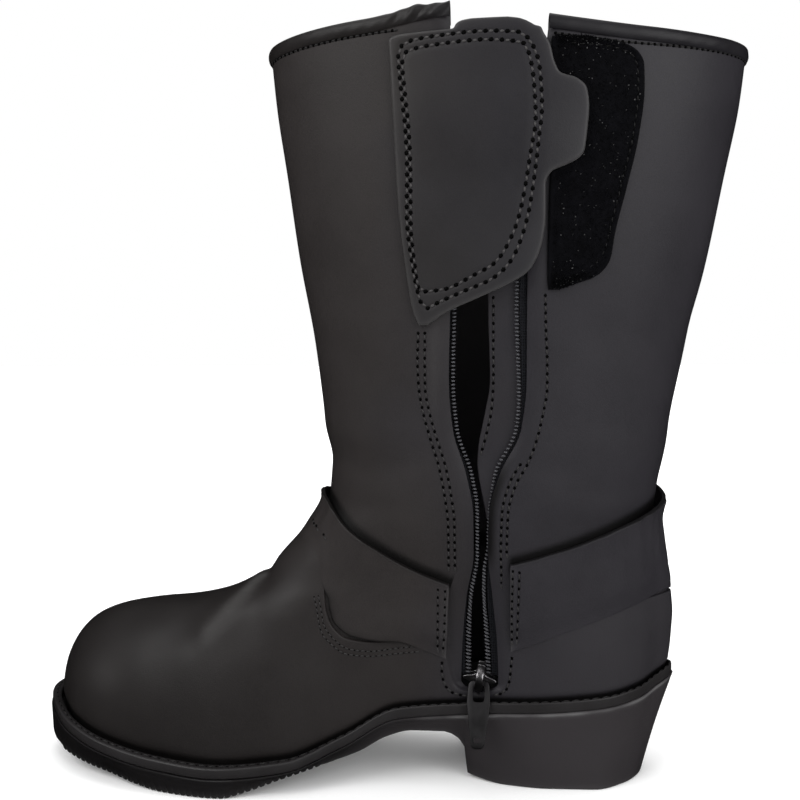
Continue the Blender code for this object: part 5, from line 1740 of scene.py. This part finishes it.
# seams: each row of stitches follows a line on the leather
seamLook = {
    # pitch, thread, half length of a stitch against the pitch, the dark disc of painted shade in the needle
    # hole against the thread, finish
    "sewing": {
        "flapSeam": (4.6, 0.58, 0.20, 2.0, "litFlapThread"),
        "shaftSeam": (3.7, 0.50, 0.27, 1.6, "thread"),
        "vampSeam": (2.5, 0.40, 0.33, 0.85, "thread"),
        "collarSeam": (2.9, 0.46, 0.33, 1.8, "darkThread"),
        "strapSeam": (3.7, 0.44, 0.27, 1.6, "thread"),
        "patchSeam": (3.7, 0.36, 0.33, 1.3, "patchThread"),
        "weltSeam": (4.6, 0.36, 0.33, 1.3, "darkThread"),
    },
    "slant": 0.16,
    "stray": 0.04,
    "threadLift": 0.25,
    "threadFlat": 0.9,
    "holeDepth": 0.16,
    "holeLift": 0.08,
    "lineStep": 0.7,
    # laps and levels below the vamp's edge and the collar's edge
    "outerVamp": {"laps": (1.44, 1.66), "below": (0.32, 0.58)},
    "collar": {"laps": (0.02, 2.84), "below": 0.205},
    "weltInset": 0.5,
    "weltLift": 0.05,
    "front": (
        ((114.0, 207.3), (114.4, 195.5), (113.9, 183.6), (112.1, 172.9), (108.6, 159.8),
         (105.0, 147.9), (102.7, 135.9), (101.2, 123.7), (101.0, 111.1), (100.9, 100.0)),
        ((111.1, 207.3), (111.2, 195.5), (111.1, 183.7), (109.3, 172.9), (105.9, 160.5),
         (102.2, 148.6), (99.9, 136.4), (98.4, 124.0), (98.2, 111.2), (98.1, 100.0)),
    ),
    "rear": (
        ((59.3, 223.2), (58.9, 209.3), (58.2, 195.4), (58.1, 183.7), (59.8, 171.9), (62.6, 160.1),
         (66.7, 149.4), (71.4, 141.1), (74.8, 127.8), (75.2, 111.5), (75.0, 106.5)),
        ((69.6, 149.8), (74.1, 141.9), (77.4, 128.2), (77.8, 111.5), (77.6, 103.0), (77.2, 92.0)),
    ),
    "facing": (
        ((81.4, 222.4), (81.4, 204.8), (81.3, 188.3), (81.9, 175.2), (84.2, 163.2), (87.2, 152.4)),
    ),
    "strap": (
        ((102.3, 93.1), (102.6, 79.5), (103.1, 66.8), (103.6, 61.5)),
        ((105.5, 93.7), (105.7, 80.8), (105.8, 68.1), (105.6, 62.5)),
        ((72.6, 102.8), (72.6, 88.8), (72.4, 74.8), (72.2, 67.0)),
        ((69.7, 102.2), (69.8, 88.8), (70.0, 74.9), (70.1, 67.5)),
        ((163.4, 118.4), (162.0, 116.0)),
        ((161.2, 116.8), (159.8, 114.2)),
        ((157.4, 114.0), (155.8, 111.6)),
    ),
    "foot": (
        ((104.0, 57.5), (104.1, 53.2), (102.8, 47.7), (100.0, 44.3), (95.9, 43.1), (91.9, 42.5)),
        ((72.4, 61.0), (72.7, 58.5), (73.0, 54.6), (74.3, 47.6), (77.6, 44.4), (81.0, 43.4)),
    ),
    "vamp": (
        ((160.4, 87.5), (159.4, 83.0), (158.0, 74.6), (154.0, 68.5), (147.0, 63.4), (137.0, 62.3),
         (124.9, 63.8), (114.0, 65.2)),
        ((162.4, 87.0), (161.2, 82.0), (159.6, 72.6), (155.0, 65.9), (147.4, 60.9), (137.0, 60.0),
         (125.5, 61.2), (114.0, 62.6)),
    ),
    "patch": (
        ((55.5, 230.2), (48.0, 231.5), (40.0, 235.5), (34.4, 242.0), (32.4, 250.0), (28.0, 268.0),
         (22.6, 291.0), (20.4, 311.0), (21.0, 321.0), (25.0, 325.6), (36.0, 328.0), (50.0, 328.8)),
    ),
}


def sewRows(name, rows):
    # rows of points and normals: a stitch lies along each step of a row, with a dark disc of painted shade
    # for the needle hole at its start
    look = seamLook
    pitch, thread, bead, hole, finish = look["sewing"][name]
    starts, ends, outs = [], [], []
    for points, normals in rows:
        travel = travelled(points)
        count = max(int(round(travel[-1] / pitch)), 1)
        at = np.linspace(0.0, travel[-1], count + 1)
        places = np.stack([np.interp(at, travel, points[:, k]) for k in range(3)], -1)
        lift = unit(np.stack([np.interp(at, travel, normals[:, k]) for k in range(3)], -1))
        starts.append(places[:-1])
        ends.append(places[1:])
        outs.append(unit(lift[:-1] + lift[1:]))
    start, end, out = (np.concatenate(values) for values in (starts, ends, outs))
    run = end - start
    size = np.linalg.norm(run, axis=1, keepdims=True)
    run = run / size
    run = unit(run + np.cross(out, run) * look["slant"])
    side = np.cross(out, run)
    stray = side * dice.normal(0.0, look["stray"], (len(run), 1))
    centres = (start + end) / 2 + out * (thread * look["threadLift"]) + stray
    axes = np.stack([side * thread, out * thread * look["threadFlat"], run * size * bead], axis=1)
    finishPiece(repeatShape(name, ball(6, 6), centres, axes), (finish,), angle=80)
    dent = np.stack([side * thread * hole, out * look["holeDepth"], run * thread * hole], axis=1)
    piece = repeatShape(name + "HoleShades", ball(6, 3), start + out * look["holeLift"], dent)
    finishPiece(piece, ("needleHoleShade",), angle=80)


def innerRow(line, offset, closed=False):
    spots = smoothLine(line, seamLook["lineStep"], closed)
    x, z = spots.T
    turn, level = innerPlace(x, z)
    point, normal, _ = skinFrame(turn, level)
    height = offset(x, z) if callable(offset) else np.full(len(spots), float(offset))
    return point + normal * height[:, None], normal


def strapOffset(x, z):
    lap = np.clip(lapAt(x, z), *strapLaps)
    low, high = strapSpan(lap)
    return strapFaces(lap, np.clip((z - low) / (high - low), 0.0, 1.0))[1]


def outerVampRows():
    look = seamLook["outerVamp"]
    laps = np.linspace(*look["laps"], 50)
    rows = []
    for below in look["below"]:
        level = vampLevel(laps) - below
        point, normal, _ = skinFrame(lapTurn(laps, level), level)
        rows.append((point + normal * lastForm["vampStep"], normal))
    return rows


def collarRow():
    look = seamLook["collar"]
    laps = np.linspace(*look["laps"], 320)
    level = np.full(len(laps), topLevel - look["below"])
    return skinFrame(lapTurn(laps, level), level)[:2]


def weltRow():
    turns = np.linspace(0.0, math.tau, 500)
    height = np.full(len(turns), lastForm["weltThick"] + seamLook["weltLift"])
    points = weltPlace(turns, ledgeAt(turns) * seamLook["weltInset"], height)
    return points, np.tile([0.0, 0.0, 1.0], (len(turns), 1))


def makeSeams():
    look = seamLook
    step = lastForm["vampStep"]
    flap = [innerRow(flapLook[key], flapTop, True) for key in ("outerRow", "innerRow")]
    sewRows("flapSeam", flap)
    shaft = [innerRow(line, 0.0) for line in look["front"] + look["rear"]]
    shaft += [innerRow(line, step) for line in look["foot"]]
    shaft += [innerRow(line, -underTeeth) for line in look["facing"]]
    sewRows("shaftSeam", shaft)
    sewRows("vampSeam", [innerRow(line, step) for line in look["vamp"]] + outerVampRows())
    sewRows("collarSeam", [collarRow()])
    sewRows("strapSeam", [innerRow(line, strapOffset) for line in look["strap"]])
    sewRows("patchSeam", [innerRow(line, patchLook["thick"]) for line in look["patch"]])
    sewRows("weltSeam", [weltRow()])


makeSeams()


# floor, light and camera
viewLook = {
    "target": (124.4, 0.0, 175.7),
    "distance": 480.0,
    "azimuth": math.radians(3.35),
    "elevation": math.radians(3.5),
    "roll": math.radians(0.26),
    "lens": 45.21,
    "floor": 0.96,
    "floorSize": 14.0,
    # distances and shades of the floor's own light, which grows away from the boot
    "glow": ((0.15, 0.7), (0.05, 0.6)),
    "world": 1.0,
    "aim": (0.0, 0.0, 0.14),
    # place, power and size of each soft box
    "lights": (
        ("keyLight", (0.95, 0.95, 1.25), 11.0, 0.9),
        ("fillLight", (-0.95, 0.95, 0.75), 7.0, 0.9),
        ("topLight", (0.05, -0.15, 1.60), 7.0, 1.2),
    ),
}


def makeStage():
    look = viewLook
    startFresh()
    bpy.ops.mesh.primitive_plane_add(size=look["floorSize"])
    floor = bpy.context.object
    floor.name = "floor"
    paper = Finish("paper", **{"Specular IOR Level": 0.1, "Emission Strength": 1.0})
    tint = paper.noise(paper.place(), 3.0)
    away = paper.node("ShaderNodeVectorMath", {"operation": "LENGTH"}, {0: paper.place()}, out=1)
    glowSpan, (nearGlow, farGlow) = look["glow"]
    paper.shade(
        Base_Color=paper.mix(tint, rgb(look["floor"]), rgb(look["floor"] * 1.02)),
        Roughness=0.9 + tint * 0.05,
        Emission_Color=paper.mix(paper.fade(away, *glowSpan), rgb(nearGlow), rgb(farGlow)),
    )
    floor.data.materials.append(paper.material)
    world = bpy.data.worlds.new("studio")
    world.use_nodes = True
    sky = world.node_tree.nodes["Background"]
    sky.inputs["Color"].default_value = (1.0, 1.0, 1.0, 1.0)
    sky.inputs["Strength"].default_value = look["world"]
    # the leather isn't to mirror the white room, only the soft boxes
    world.cycles_visibility.glossy = False
    floor.visible_glossy = False
    bpy.context.scene.world = world
    bpy.context.scene.view_settings.view_transform = "Standard"
    for name, place, power, size in look["lights"]:
        bpy.ops.object.light_add(type="AREA", location=place)
        lamp = bpy.context.object
        lamp.name = lamp.data.name = name
        lamp.data.energy, lamp.data.size = power, size
        aim = Vector(look["aim"]) - Vector(place)
        lamp.rotation_euler = aim.to_track_quat("-Z", "Y").to_euler()


def makeCamera():
    look = viewLook
    azimuth, elevation = look["azimuth"], look["elevation"]
    flat = math.cos(elevation)
    back = Vector((-math.sin(azimuth) * flat, math.cos(azimuth) * flat, math.sin(elevation)))
    right = Vector((0, 0, 1)).cross(back).normalized()
    up = back.cross(right)
    turnedRight = right * math.cos(look["roll"]) - up * math.sin(look["roll"])
    turnedUp = right * math.sin(look["roll"]) + up * math.cos(look["roll"])
    eye = Vector(toFrame(look["target"])) + back * look["distance"] * 0.001
    bpy.ops.object.camera_add()
    camera = bpy.context.object
    camera.name = "photoCamera"
    turned = Matrix((turnedRight, turnedUp, back)).transposed().to_4x4()
    camera.matrix_world = Matrix.Translation(eye) @ turned
    camera.data.lens, camera.data.sensor_width = look["lens"], 36.0
    camera.data.clip_start = 0.01
    camera.data.dof.use_dof = False
    bpy.context.scene.camera = camera


makeStage()
makeCamera()
print("stage, light and camera set")
